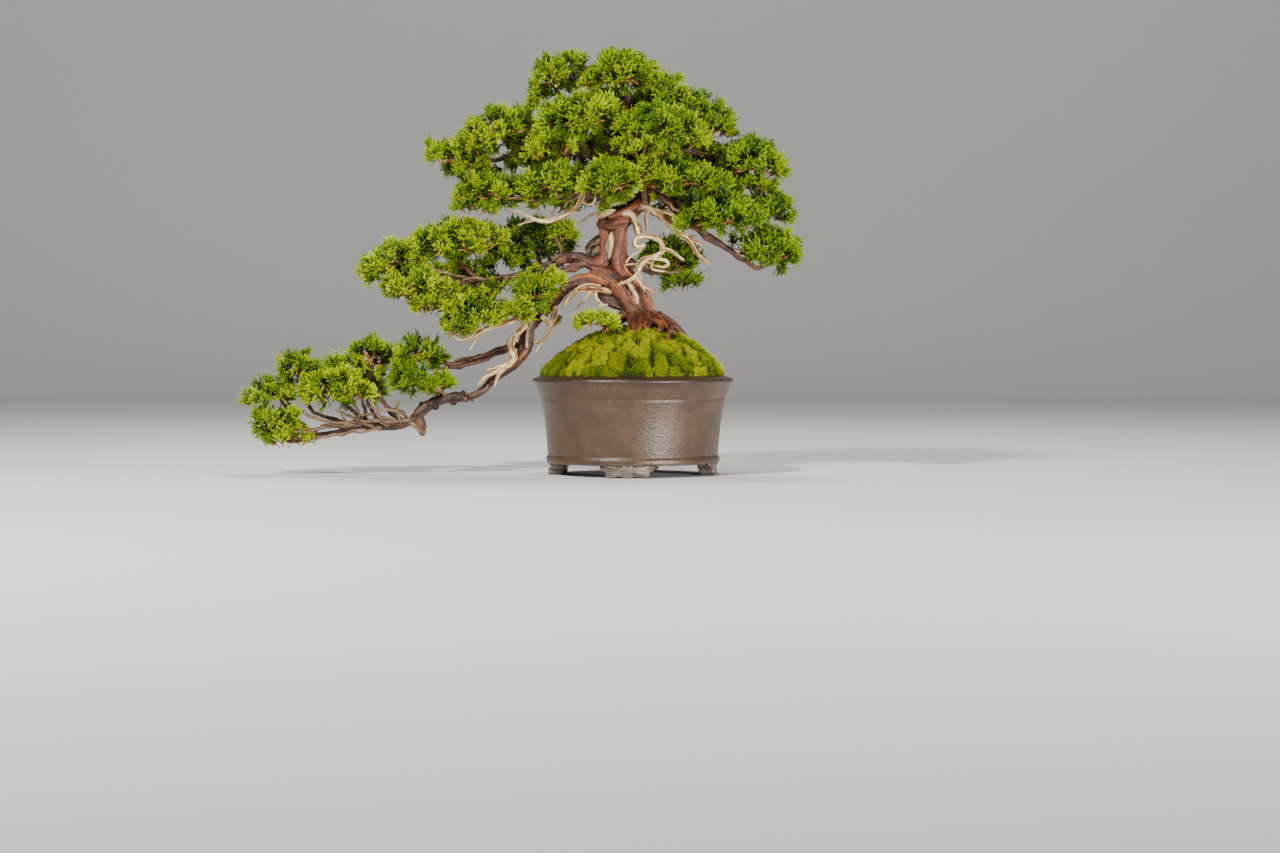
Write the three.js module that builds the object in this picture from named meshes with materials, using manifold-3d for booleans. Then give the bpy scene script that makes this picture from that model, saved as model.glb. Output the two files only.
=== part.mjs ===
// A bonsai juniper in a round stoneware pot: a semi-cascade tree with a twisted trunk, two long
// left branches, a domed crown, bleached deadwood and a mossy mound of soil.
// Millimetres, +Z up, modelled about the pot's axis with the ground at Z = 0, then moved so that
// the middle of the bounding box's underside is the origin. -Y is the front.
import * as THREE from 'three'
import { mergeVertices } from 'three/addons/utils/BufferGeometryUtils.js'
import Module from 'manifold-3d'

const wasm = await Module()
wasm.setup()

// ---- Driving dimensions -------------------------------------------------------------------

const GAP = 0.3 // between pieces that rest on or in one another
const TIDY = 0.12 // slivers thinner than this are merged after a cut
const WOOD_TIDY = 0.2

// The pot: [radius, height] points, outside from the drain hole to the rim, then back inside.
const POT_SIDES = 30
const FOOT_HEIGHT = 16
const FLOOR_TOP = 27
const DRAIN_RADIUS = 18
const POT_OUTSIDE = [
  [DRAIN_RADIUS, FOOT_HEIGHT], [115, FOOT_HEIGHT], [117, 18], [117, 23.5], [114.6, 26.5],
  [119.5, 76], [124.5, 101], [131, 120], [136, 126], [135, 129.5],
]
const POT_INSIDE = [
  [122, 134], [118.5, 131], [112.5, 100], [105.5, 38], [98, FLOOR_TOP],
]
// A foot's outline across the front: half of it, as [offset, height] from the ground up.
const FOOT_HALF = [[24, 0], [29, 3.5], [28, 9], [33, 8.5], [36.5, 12], [37, FOOT_HEIGHT + 1]]
const FOOT_DEPTH = 14
const FOOT_RADIUS = 101 // to the foot's inner face
const FOOT_TURN = THREE.MathUtils.degToRad(-3.6)

const SCREEN = { radius: 32, thick: 1.6, hole: 9, pitch: 12 }

// The mound: highest beside the trunk, falling to the rim like a dome.
const MOUND = { x: 25, y: 0, top: 205, rim: 139, rimRadius: 118, roundness: 2.25 }
const SOIL_EDGE = [116.2, 122] // where the soil meets the pot's inner wall
const MOSS_THICK = 9
const MOSS_LUMP = 2.2
const MOSS_EDGE = 5.5 // thickness left at a patch's edges
// Moss patches, as the turn in degrees where each one starts; the last ends at the first.
const MOSS_EDGES = [-158, -97, -38, 28, 117]
const MOSS_CRACK = 1.6 // width of the cracks between the patches

// The living wood. A route is a list of [x, y, z] points chosen along the limb; radii are given
// at the route's points, or as the first and the last.
const TRUNK = {
  route: [
    [27, 2, 118], [26, 1, 160], [20, 0, 193], [11, 0, 215], [0, -2, 241], [-14, -5, 266],
    [-24, -6, 290], [-27, -4, 316], [-26, -1, 336], [-16, 5, 350], [4, 11, 361], [18, 10, 379],
    [22, 4, 403], [9, -2, 424], [-14, 2, 438], [-26, 8, 455], [-20, 10, 476], [-9, 6, 495],
    [-8, 2, 516], [-12, 0, 532],
  ],
  radii: [
    16, 22, 25, 19.5, 20, 21, 19.5, 19.5, 21, 17, 14, 12.5, 11.5, 11, 10.5, 9, 8, 6.5, 5, 3.5,
  ],
  sides: 9,
  stride: 22,
  flute: 0.09,
}
const UPPER_BRANCH = {
  route: [
    [-22, -5, 272], [-44, -8, 283], [-63, -8, 290], [-80, -6, 292], [-96, -5, 291],
    [-108, -5, 283], [-125, -3, 275], [-152, 0, 268], [-180, 3, 262], [-207, 5, 258],
    [-234, 5, 260], [-254, 5, 266],
  ],
  radii: [11, 9.5, 8.5, 8, 7.5, 7.5, 7, 6.5, 6, 5.5, 4.5, 3.5],
  sides: 6,
  stride: 27,
}
const CASCADE = {
  route: [
    [-10, -6, 248], [-30, -8, 251], [-49, -10, 258], [-64, -10, 260], [-82, -9, 256],
    [-95, -8, 247], [-107, -6, 234], [-122, -4, 219], [-135, -4, 204], [-144, -3, 190],
    [-148, -3, 176], [-150, -5, 162], [-159, -7, 150], [-173, -8, 140], [-189, -9, 128],
    [-200, -9, 115], [-213, -10, 107], [-232, -10, 103], [-252, -10, 102], [-272, -9, 95],
    [-294, -8, 76], [-308, -7, 67], [-336, -6, 64], [-368, -5, 65], [-400, -4, 57],
    [-429, -3, 52], [-464, -4, 45], [-494, -13, 60],
  ],
  radii: [
    13, 12, 11, 10.5, 10, 9.5, 9, 8.5, 8, 8, 8, 7.5, 7, 6.5, 6, 6, 6, 6, 6, 7,
    7.5, 5.5, 5, 4.5, 4, 3.5, 3, 2,
  ],
  sides: 6,
  stride: 25,
}

// Roots that run down the mound from the trunk's base.
const ROOTS = [
  [[6, -14, 216], [0, -31, 203], [1, -46, 194], [2, -62, 181]],
  [[10, -16, 212], [9, -34, 201], [11, -48, 191]],
  [[20, -14, 213], [19, -34, 202], [15, -50, 190]],
  [[26, -10, 215], [38, -23, 205], [47, -36, 196], [47, -60, 178]],
  [[-2, -8, 222], [-22, -17, 206], [-29, -35, 194], [-38, -52, 180]],
  [[8, 14, 214], [1, 36, 201], [-8, 58, 181]],
  [[26, 12, 214], [40, 33, 200], [50, 56, 178]],
  [[32, 2, 214], [52, 5, 203], [72, 10, 185]],
  [[4, 6, 222], [-22, 12, 205], [-48, 22, 186]],
]
const ROOT_RADII = [8, 3.2]
const ROOT_SIDES = 4

// Limbs and branchlets that carry the foliage, as [first radius, last radius, route].
const LIMBS = [
  // the burl of old bark behind the trunk, and the second strand of the upper left branch
  [9, 6, [[-34, 10, 296], [-52, 16, 308], [-62, 18, 322]]],
  [5, 4, [[-56, -12, 286], [-80, -14, 278], [-98, -11, 274], [-118, -7, 274]]],
  // crown, left side: the high limb and what springs from it
  [8.5, 4, [[-12, 2, 436], [-45, -3, 433], [-90, -5, 435], [-138, -3, 440], [-182, -8, 456]]],
  [4, 2.5, [[-130, -3, 437], [-178, 6, 426], [-224, 13, 424]]],
  [4, 2.5, [[-18, 3, 452], [-42, -20, 457], [-66, -40, 468]]],
  [5, 2.5, [[-20, 8, 474], [-56, 9, 482], [-88, 9, 496], [-104, 8, 520]]],
  // crown, left side: the low limb
  [7, 3, [[12, 8, 392], [-20, -2, 385], [-62, -8, 377], [-112, -14, 371], [-172, -18, 372]]],
  [3, 2.2, [[-72, -9, 376], [-92, -22, 382], [-108, -32, 390]]],
  // crown, middle and right
  [4, 2.5, [[12, -2, 410], [-4, -28, 396], [-24, -50, 387]]],
  [5, 2.5, [[-8, 6, 482], [26, 14, 478], [66, 22, 486]]],
  [4.5, 2.5, [[-4, 0, 434], [12, -24, 443], [38, -48, 458]]],
  [7, 3, [[2, 0, 428], [42, 6, 430], [84, 8, 434], [124, 6, 426], [154, 5, 420]]],
  [4.5, 2.5, [[20, 4, 404], [36, -20, 398], [52, -34, 390]]],
  // the falling limb at the right, and what springs from it
  [7, 2.5, [
    [18, 8, 381], [38, 2, 373], [54, -2, 362], [66, -4, 348], [80, -6, 338], [96, -8, 325],
    [116, -10, 312], [150, -10, 288], [172, -10, 279], [198, -10, 294],
  ]],
  [5, 2.5, [[24, 8, 384], [62, 12, 371], [106, 16, 366], [150, 19, 358], [178, 20, 352]]],
  [3.5, 2.5, [[70, -5, 344], [94, -16, 340], [116, -22, 338]]],
  // behind the crown
  [6, 2.5, [[-12, 8, 462], [-26, 44, 470], [-42, 76, 484]]],
  [5.5, 2.5, [[-10, 9, 488], [18, 42, 486], [46, 78, 492]]],
  [5, 2.5, [[-24, 8, 446], [-70, 40, 440], [-112, 72, 442]]],
  [6, 2.5, [[4, 4, 428], [12, 52, 430], [20, 96, 432]]],
  [5, 2.5, [[14, 6, 420], [54, 44, 424], [90, 76, 424]]],
  [5.5, 2.5, [[10, 12, 374], [-34, 48, 374], [-76, 82, 380]]],
  [5.5, 2.5, [[20, 10, 388], [58, 52, 372], [100, 76, 358]]],
  [6, 3, [[-12, 6, 290], [12, 44, 280], [36, 74, 274], [50, 88, 282]]],
  // on the upper left branch
  [3.5, 2, [[-246, 5, 263], [-284, 2, 272], [-318, -4, 284]]],
  [4, 2, [[-205, 5, 259], [-232, 10, 282], [-252, 14, 304]]],
  [4, 2, [[-124, -2, 275], [-128, 28, 290], [-136, 52, 304]]],
  [4, 2, [[-228, 4, 259], [-260, -18, 248], [-288, -34, 242]]],
  [4, 2, [[-162, 1, 266], [-190, -11, 242], [-212, -21, 222]]],
  [4, 2, [[-126, -4, 274], [-134, -30, 254], [-138, -52, 240]]],
  [2.2, 1.6, [[-96, -4, 296], [-101, -10, 314], [-104, -14, 330]]],
  [3.5, 2, [[-176, 3, 263], [-206, 32, 256], [-232, 56, 254]]],
  // the sprig in front of the trunk's base
  [3, 2, [[-4, -12, 222], [-24, -30, 204], [-44, -40, 201]]],
  // on the cascading branch
  [4, 2.5, [[-140, -4, 178], [-152, 4, 176], [-180, 8, 167], [-212, 9, 156], [-250, 10, 150], [-280, 12, 158]]],
  [6, 4, [[-292, -8, 80], [-288, -10, 66], [-283, -10, 54]]],
  [3, 2, [[-254, -9, 101], [-268, -14, 112], [-288, -19, 124]]],
  [3.5, 2, [[-306, -7, 70], [-328, 2, 84], [-342, 12, 106], [-360, 18, 153]]],
  [3.5, 2, [[-350, -6, 65], [-374, -14, 82], [-400, -25, 112]]],
  [3.5, 2, [[-372, -5, 64], [-404, 2, 72], [-436, 8, 86], [-454, 14, 144]]],
  [3, 2, [[-424, -3, 53], [-456, -2, 78], [-482, 1, 109]]],
  [3, 2, [[-334, -6, 65], [-350, 24, 78], [-371, 54, 108]]],
  [2.8, 1.8, [[-352, -6, 66], [-359, -14, 80], [-364, -20, 100], [-362, -22, 124]]],
  [2.8, 1.8, [[-300, -8, 74], [-317, -16, 86], [-333, -20, 93], [-340, -22, 112]]],
  [3, 1.8, [[-368, -5, 65], [-402, -13, 65], [-436, -15, 61], [-464, -16, 70]]],
]
const THICK_SIDES = 5 // on limbs that start thicker than SLIM, and THIN_SIDES on the rest
const THIN_SIDES = 3
const SLIM = 5
const LIMB_STRIDE = 48

// Deadwood, each a branching piece: [first radius, last radius, route] for each of its strands.
const DEADWOOD = {
  jin_curled: [
    [4.6, 5.2, [[-18, -10, 345], [-9, -21, 351], [-1, -24, 348], [4, -25, 337], [8, -25, 325],
      [14, -24, 316]]],
    [2.6, 4.3, [[16, -28, 308], [8, -30, 305], [2, -30, 309], [4, -30, 316], [14, -30, 320],
      [25, -29, 319], [35, -29, 315], [40, -29, 307], [40, -29, 299], [35, -30, 294]]],
    [4.2, 3.5, [[37, -29, 296], [28, -31, 292], [19, -31, 290], [12, -32, 285], [8, -33, 277],
      [7, -34, 267]]],
    [3.1, 1.8, [[8, -33, 269], [-1, -35, 263], [-9, -36, 259], [-19, -36, 256]]],
    [3.1, 1.6, [[7, -34, 269], [9, -35, 260], [12, -35, 253], [16, -35, 245]]],
    [2, 1.4, [[12, -35, 254], [24, -35, 248], [31, -34, 242]]],
    [2.4, 1.5, [[39, -29, 304], [51, -29, 300], [59, -28, 294], [69, -27, 287]]],
    [2.4, 1.8, [[26, -30, 290], [36, -29, 289], [44, -27, 287], [47, -26, 283], [42, -27, 279],
      [30, -29, 280]]],
    [1.8, 1.4, [[14, -26, 305], [8, -26, 299], [0, -27, 295], [-6, -28, 290], [-9, -28, 284]]],
  ],
  jin_right: [
    [6, 4.5, [[10, -2, 362], [21, -10, 357], [32, -14, 352], [41, -17, 346], [48, -18, 338],
      [55, -19, 331]]],
    [4.2, 2, [[54, -19, 332], [62, -20, 324], [73, -20, 316], [80, -20, 307], [86, -20, 297],
      [94, -20, 289], [104, -20, 281]]],
    [3, 2.2, [[32, -14, 353], [44, -20, 352], [54, -24, 347], [58, -25, 334]]],
    [2.2, 1.6, [[72, -20, 318], [79, -21, 319], [86, -22, 320]]],
    [2.2, 1.4, [[70, -20, 318], [86, -22, 312], [98, -22, 306]]],
    [2, 1.4, [[47, -18, 338], [46, -20, 331], [46, -20, 323]]],
    [2.8, 1.5, [[19, -12, 355], [18, -18, 342], [20, -18, 325]]],
  ],
  jin_left: [
    [3.4, 4.2, [[-66, -12, 377], [-70, -20, 370], [-77, -24, 359], [-88, -25, 350]]],
    [4.2, 2.4, [[-86, -25, 351], [-98, -25, 345], [-112, -25, 340], [-124, -25, 340],
      [-136, -25, 344]]],
    [2.4, 1.4, [[-132, -25, 343], [-141, -25, 347], [-157, -26, 354], [-168, -26, 352]]],
    [2.2, 1.4, [[-132, -25, 342], [-143, -25, 339], [-154, -25, 334]]],
    [2, 1.3, [[-104, -25, 343], [-107, -25, 349], [-111, -26, 354]]],
    [2.2, 1.4, [[-70, -21, 369], [-62, -23, 363], [-53, -24, 365], [-50, -23, 372]]],
  ],
  jin_cascade: [
    [3.6, 5, [[-134, -8, 207], [-147, -15, 197], [-158, -18, 187], [-164, -18, 177],
      [-161, -18, 165]]],
    [5, 4, [[-162, -18, 169], [-160, -18, 158], [-166, -19, 149], [-174, -20, 143]]],
    [3, 1.8, [[-168, -19, 147], [-184, -21, 144], [-197, -21, 141]]],
    [3.4, 1.8, [[-171, -20, 145], [-188, -21, 137], [-200, -21, 130], [-208, -21, 120]]],
    [2.8, 1.5, [[-172, -20, 145], [-180, -21, 134], [-186, -22, 119]]],
  ],
  jin_forked: [
    [4, 3.2, [[-128, -6, 216], [-142, -16, 213], [-164, -24, 206], [-198, -30, 195], [-214, -31, 185]]],
    [3.2, 1.4, [[-209, -31, 188], [-229, -31, 181], [-236, -31, 183], [-246, -31, 190]]],
    [2.4, 1.3, [[-200, -30, 193], [-209, -31, 183], [-219, -32, 167]]],
    [2, 1.3, [[-190, -28, 198], [-204, -30, 196], [-218, -31, 191]]],
  ],
  jin_hanging: [
    [4, 3, [[-104, -12, 226], [-108, -20, 208], [-112, -22, 196], [-120, -23, 182]]],
    [3.4, 2.2, [[-108, -20, 206], [-102, -21, 203], [-96, -20, 211]]],
    [2.4, 1.3, [[-115, -22, 187], [-125, -23, 178], [-134, -24, 178]]],
    [2.2, 1.3, [[-118, -23, 184], [-124, -24, 175], [-131, -25, 164]]],
  ],
  jin_small: [
    [3, 2.2, [[-50, -14, 247], [-48, -25, 236], [-42, -29, 228]]],
    [2, 1.4, [[-44, -28, 231], [-40, -29, 228], [-33, -30, 229]]],
    [2, 1.4, [[-45, -28, 232], [-42, -30, 224], [-39, -31, 216]]],
  ],
  deadwood_band: [
    [4.5, 5, [[-34, -17, 246], [-50, -20, 250], [-65, -21, 250], [-78, -19, 247]]],
    [5, 3, [[-74, -19, 248], [-88, -17, 236], [-94, -14, 222]]],
    [2.6, 1.4, [[-56, -22, 246], [-67, -23, 232], [-78, -22, 221]]],
  ],
}
const DEADWOOD_SIDES = 4
const DEADWOOD_STRIDE = 12

// Training wires: the limb each winds along, and where and how often it does.
const WIRE_RADIUS = 1.5
const WIRES = {
  wire_upper_branch: { limb: UPPER_BRANCH, from: 0.27, to: 0.4, turns: 1.5, start: 1.2 },
  wire_cascade: { limb: CASCADE, from: 0.49, to: 0.61, turns: 2.5, start: 0.6 },
}

// Foliage clouds: [x, y, z] of the middle, the half sizes out to the shoots' tips, and the slope
// in degrees, which raises the right end of the cloud.
const FOLIAGE = {
  crown_peak: [[-14, 0, 539], [50, 54, 37], -8],
  crown_peak_left: [[-107, 8, 536], [55, 46, 32], 38],
  crown_peak_right: [[72, 22, 497], [84, 58, 31], -20],
  crown_front_left: [[-70, -46, 477], [72, 50, 40], 12],
  crown_front_middle: [[42, -52, 462], [66, 46, 36], -6],
  crown_left_high: [[-184, -12, 461], [66, 54, 35], 20],
  crown_left_tip: [[-232, 14, 427], [54, 48, 29], -18],
  crown_left_low: [[-186, -24, 380], [62, 48, 26], -4],
  crown_left_inner: [[-110, -36, 392], [54, 44, 34], 8],
  crown_low_front: [[-30, -58, 392], [42, 38, 34], 0],
  crown_low_right: [[64, -42, 397], [68, 46, 30], -4],
  crown_right_high: [[160, 5, 422], [56, 54, 35], -8],
  crown_right_low: [[120, -28, 348], [62, 46, 34], 0],
  crown_right_tip: [[184, 20, 360], [43, 42, 30], -10],
  crown_right_fall: [[190, -10, 304], [45, 44, 38], 0],
  crown_back_left: [[-46, 82, 492], [70, 48, 40], 10],
  crown_back_right: [[44, 86, 488], [68, 50, 38], -14],
  crown_back_far_left: [[-122, 80, 442], [70, 50, 36], 10],
  crown_back_middle: [[22, 110, 434], [70, 48, 36], 0],
  crown_back_far_right: [[98, 84, 424], [66, 48, 34], -6],
  crown_back_low_left: [[-80, 90, 386], [62, 46, 28], 0],
  crown_back_low_right: [[110, 84, 362], [58, 46, 32], 0],
  low_back_right: [[52, 92, 294], [46, 46, 38], 0],
  middle_tip: [[-326, -5, 288], [51, 46, 31], 22],
  middle_high: [[-250, 12, 312], [68, 52, 37], 8],
  middle_back: [[-140, 60, 316], [64, 44, 37], 0],
  middle_low: [[-294, -38, 252], [52, 42, 31], -4],
  middle_under: [[-216, -28, 219], [54, 42, 35], 0],
  middle_front: [[-130, -58, 243], [40, 36, 33], 8],
  middle_back_low: [[-236, 62, 262], [60, 44, 31], 0],
  middle_sprig: [[-98, -16, 337], [25, 18, 22], 0],
  base_sprig: [[-50, -46, 208], [38, 25, 17], 5],
  low_tip_high: [[-482, 0, 110], [51, 38, 21], 5],
  low_tip: [[-484, -14, 71], [40, 36, 31], 10],
  low_crest_tip: [[-454, 14, 144], [33, 34, 24], 0],
  low_front: [[-399, -26, 116], [54, 41, 31], 6],
  low_crest: [[-366, 18, 156], [56, 42, 30], 8],
  low_inner_high: [[-288, 10, 162], [43, 38, 27], 0],
  low_inner: [[-294, -20, 126], [39, 29, 18], -4],
  low_back: [[-374, 54, 116], [48, 36, 27], 0],
}
const CORE_SHARE = 0.72 // of a cloud's half size, which the shoots stand out of
const CORE_LUMP = 0.14
const SHOOT = { radius: 4, area: 1800 } // at the root, and how much of the cloud each one covers
const SEED = 20260

// ---- Materials ----------------------------------------------------------------------------

const paint = (color, roughness, metalness = 0) =>
  new THREE.MeshStandardMaterial({ color, roughness, metalness, flatShading: true })
const stoneware = () => paint(0x5a4a41, 0.55)
const blackPlastic = () => paint(0x1c1c1c, 0.6)
const darkSoil = () => paint(0x2b221b, 0.95)
const greenMoss = () => paint(0x6f8a14, 0.95)
const redBark = () => paint(0x6e3a28, 0.7)
const bleachedWood = () => paint(0xcdbfa3, 0.8)
const agedWire = () => paint(0x3c2b22, 0.45, 0.8)
const scaleLeaf = () => paint(0x5e9a1e, 0.6)

// ---- Geometry helpers ---------------------------------------------------------------------

/** A solid from a closed geometry: shared corners merged, empty faces dropped, faces out. */
function toSolid(geometry) {
  const bare = geometry.clone()
  bare.deleteAttribute('normal')
  bare.deleteAttribute('uv')
  const merged = mergeVertices(bare, 1e-4)
  const corners = merged.attributes.position
  const faces = []
  for (let i = 0; i < merged.index.count; i += 3) {
    const [a, b, c] = [0, 1, 2].map((k) => merged.index.getX(i + k))
    if (a !== b && b !== c && c !== a) faces.push([a, b, c])
  }
  const point = (i) => new THREE.Vector3().fromBufferAttribute(corners, i)
  const volume = faces.reduce((sum, [a, b, c]) => sum + point(a).dot(point(b).cross(point(c))), 0)
  const triVerts = new Uint32Array(faces.flatMap(([a, b, c]) => (volume > 0 ? [a, b, c] : [a, c, b])))
  const vertProperties = new Float32Array(corners.array)
  return new wasm.Manifold(new wasm.Mesh({ numProp: 3, vertProperties, triVerts }))
}

/** The geometry of a solid's largest body, with slivers merged. */
function toGeometry(solid, tidy) {
  const mesh = largest(solid.simplify(tidy)).getMesh()
  const geometry = new THREE.BufferGeometry()
  geometry.setAttribute('position', new THREE.BufferAttribute(mesh.vertProperties, 3))
  geometry.setIndex(new THREE.BufferAttribute(mesh.triVerts, 1))
  geometry.computeVertexNormals()
  return geometry
}

const join = (solids) => wasm.Manifold.union(solids)

/** The largest body of a solid, so that no loose scrap is left after a cut. */
function largest(solid) {
  const bodies = solid.decompose()
  return bodies.reduce((best, body) => (body.volume() > best.volume() ? body : best))
}

/** Moves each corner of a geometry to where place(corner) says. */
function reshape(geometry, place) {
  const corners = geometry.attributes.position
  const corner = new THREE.Vector3()
  for (let i = 0; i < corners.count; i++) {
    place(corner.fromBufferAttribute(corners, i))
    corners.setXYZ(i, corner.x, corner.y, corner.z)
  }
  return geometry
}

/** Repeatable random numbers between 0 and 1. */
function randomFrom(seed) {
  let state = seed
  return () => {
    state = (Math.imul(state, 1664525) + 1013904223) >>> 0
    return state / 4294967296
  }
}

/** A route's smooth curve, and the limb's radius at a share of its length. */
function limbCurve({ route, radii }) {
  const points = route.map((point) => new THREE.Vector3(...point))
  const curve = new THREE.CatmullRomCurve3(points, false, 'centripetal')
  const radiusAt = (share) => {
    const place = radii.length === 2 ? share : curve.getUtoTmapping(share) * (radii.length - 1)
    const before = Math.min(Math.floor(place), radii.length - 2)
    return THREE.MathUtils.lerp(radii[before], radii[before + 1], place - before)
  }
  return { curve, radiusAt }
}

/** A tapering, closed limb: a cylinder bent along its route. extra thickens it all round. */
function limb(spec, extra = 0) {
  const { sides, stride, flute = 0 } = spec
  const { curve, radiusAt } = limbCurve(spec)
  const steps = Math.max(2, Math.round(curve.getLength() / stride))
  const frames = curve.computeFrenetFrames(steps, false)
  const more = extra / Math.cos(Math.PI / sides)
  const tube = new THREE.CylinderGeometry(1, 1, 1, sides, steps)
  return toSolid(reshape(tube, (corner) => {
    const share = THREE.MathUtils.clamp(corner.y + 0.5, 0, 1)
    const step = Math.round(share * steps)
    const across = Math.hypot(corner.x, corner.z)
    const turn = Math.atan2(corner.z, corner.x)
    const ridge = 1 + flute * Math.cos(3 * turn + 14 * share)
    const reach = (radiusAt(share) * ridge + more) / Math.max(across, 1e-6)
    const side = across > 0.5 ? reach : 0
    const past = step === 0 ? -extra : step === steps ? extra : 0
    const { x, z } = corner
    corner.copy(curve.getPointAt(share))
    corner.addScaledVector(frames.binormals[step], x * side)
    corner.addScaledVector(frames.normals[step], z * side)
    corner.addScaledVector(frames.tangents[step], past)
  }))
}

// ---- Pot, drain screen, soil and moss -----------------------------------------------------

/** A body of revolution about Z, from [radius, height] points. */
function turned(profile, sides) {
  const points = profile.map(([radius, height]) => new THREE.Vector2(radius, height))
  return new THREE.LatheGeometry(points, sides).rotateX(Math.PI / 2)
}

function footGeometry() {
  const half = FOOT_HALF.map(([offset, height]) => new THREE.Vector2(offset, height))
  const otherHalf = FOOT_HALF.map(([offset, height]) => new THREE.Vector2(-offset, height))
  const outline = new THREE.Shape([...half, ...otherHalf.reverse()])
  const foot = new THREE.ExtrudeGeometry(outline, { depth: FOOT_DEPTH, bevelEnabled: false })
  return foot.rotateX(Math.PI / 2).translate(0, -FOOT_RADIUS, 0)
}

function pot() {
  const profile = [...POT_OUTSIDE, ...POT_INSIDE, [DRAIN_RADIUS, FLOOR_TOP], POT_OUTSIDE[0]]
  const bowl = toSolid(turned(profile, POT_SIDES))
  const quarterTurns = [0, 1, 2, 3].map((quarter) => (quarter * Math.PI) / 2 + FOOT_TURN)
  const feet = quarterTurns.map((turn) => toSolid(footGeometry().rotateZ(turn)))
  return join([bowl, ...feet])
}

function drainScreen() {
  const { radius, thick, hole, pitch } = SCREEN
  const middle = FLOOR_TOP + GAP + thick / 2
  const disc = new THREE.CylinderGeometry(radius, radius, thick, 16)
  let solid = toSolid(disc.rotateX(Math.PI / 2).translate(0, 0, middle))
  for (const x of [-pitch, 0, pitch]) {
    for (const y of [-pitch, 0, pitch]) {
      const cutter = new THREE.BoxGeometry(hole, hole, 2 * thick).translate(x, y, middle)
      solid = solid.subtract(toSolid(cutter))
    }
  }
  return solid
}

/** How far out a point is: 0 at the mound's peak, 1 at the pot's rim. */
function moundShare(x, y) {
  const [dx, dy] = [x - MOUND.x, y - MOUND.y]
  const away = Math.hypot(dx, dy)
  if (away < 1e-6) return 0
  return away / moundReach(Math.atan2(dy, dx))
}

/** From the mound's peak to the rim in one direction. */
function moundReach(turn) {
  const along = MOUND.x * Math.cos(turn) + MOUND.y * Math.sin(turn)
  const square = MOUND.x ** 2 + MOUND.y ** 2 - MOUND.rimRadius ** 2
  return -along + Math.sqrt(along ** 2 - square)
}

function moundHeight(x, y) {
  const share = Math.min(moundShare(x, y), 1)
  return MOUND.rim + (MOUND.top - MOUND.rim) * (1 - share ** MOUND.roundness)
}

/** The soil: it fits the pot's inside, leaves room for the drain screen and heaps up on top. */
function soil() {
  const recess = SCREEN.radius + GAP
  const bottom = FLOOR_TOP + GAP
  const over = bottom + SCREEN.thick + GAP
  const wall = POT_INSIDE.slice(1).reverse().map(([radius, height]) => [radius - GAP, height])
  wall[0] = [wall[0][0], bottom]
  wall[wall.length - 1] = SOIL_EDGE
  const crownRings = [88, 48, 0]
  const profile = [[0, over], [recess, over], [recess, bottom], ...wall]
  profile.push(...crownRings.map((radius) => [radius, 1000]))
  const heaped = reshape(turned(profile, POT_SIDES), (corner) => {
    if (corner.z > 900) corner.z = moundHeight(corner.x, corner.y) - MOSS_THICK
  })
  return toSolid(heaped)
}

/** One patch of moss: a sheet laid over the mound between two turns, thin at its edges. */
function mossPatch(startDegrees, endDegrees) {
  const sheet = new THREE.BoxGeometry(1, 1, 1, 3, 4, 1)
  return toSolid(reshape(sheet, (corner) => {
    const out = THREE.MathUtils.lerp(0.12, 0.97, corner.x + 0.5)
    const reach = moundReach(THREE.MathUtils.degToRad((startDegrees + endDegrees) / 2))
    const crack = THREE.MathUtils.radToDeg(MOSS_CRACK / (2 * out * reach))
    const degrees = THREE.MathUtils.lerp(startDegrees + crack, endDegrees - crack, corner.y + 0.5)
    const turn = THREE.MathUtils.degToRad(degrees + 9 * Math.sin(8 * out))
    const away = out * moundReach(turn)
    const isEdge = Math.max(Math.abs(corner.x), Math.abs(corner.y)) > 0.49
    const isTop = corner.z > 0
    const x = MOUND.x + away * Math.cos(turn)
    const y = MOUND.y + away * Math.sin(turn)
    const lump = MOSS_LUMP * Math.sin(x / 9 + 1.3 * Math.sin(y / 13)) * Math.sin(y / 8)
    const above = isEdge ? MOSS_EDGE - MOSS_THICK : lump
    corner.set(x, y, moundHeight(x, y) + (isTop ? above : -MOSS_THICK - 2.5))
  }))
}

// ---- The tree -----------------------------------------------------------------------------

const branchSpec = ([first, last, route]) => ({
  route, radii: [first, last], sides: first > SLIM ? THICK_SIDES : THIN_SIDES, stride: LIMB_STRIDE,
})
const strandSpec = ([first, last, route]) => ({
  route, radii: [first, last], sides: DEADWOOD_SIDES, stride: DEADWOOD_STRIDE,
})

function wood(extra = 0) {
  const roots = ROOTS.map((route) => ({
    route, radii: ROOT_RADII, sides: ROOT_SIDES, stride: LIMB_STRIDE / 2,
  }))
  const specs = [TRUNK, UPPER_BRANCH, CASCADE, ...roots, ...LIMBS.map(branchSpec)]
  return join(specs.map((spec) => limb(spec, extra)))
}

const deadwood = (strands, extra = 0) =>
  join(strands.map((strand) => limb(strandSpec(strand), extra)))

/** A wire wound round a limb, lying on its bark. */
function wire({ limb: spec, from, to, turns, start }, extra = 0) {
  const { curve, radiusAt } = limbCurve(spec)
  const count = Math.round(turns * 5)
  const frames = curve.computeFrenetFrames(200, false)
  const route = []
  for (let i = 0; i <= count; i++) {
    const share = THREE.MathUtils.lerp(from, to, i / count)
    const frame = Math.round(share * 200)
    const turn = start + (2 * Math.PI * turns * i) / count
    const away = radiusAt(share) + WIRE_RADIUS + 2 * GAP
    const point = curve.getPointAt(share)
    point.addScaledVector(frames.normals[frame], away * Math.cos(turn))
    point.addScaledVector(frames.binormals[frame], away * Math.sin(turn))
    route.push(point.toArray())
  }
  return limb({ route, radii: [WIRE_RADIUS, WIRE_RADIUS], sides: 4, stride: 9 }, extra)
}

// ---- Foliage ------------------------------------------------------------------------------

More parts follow.
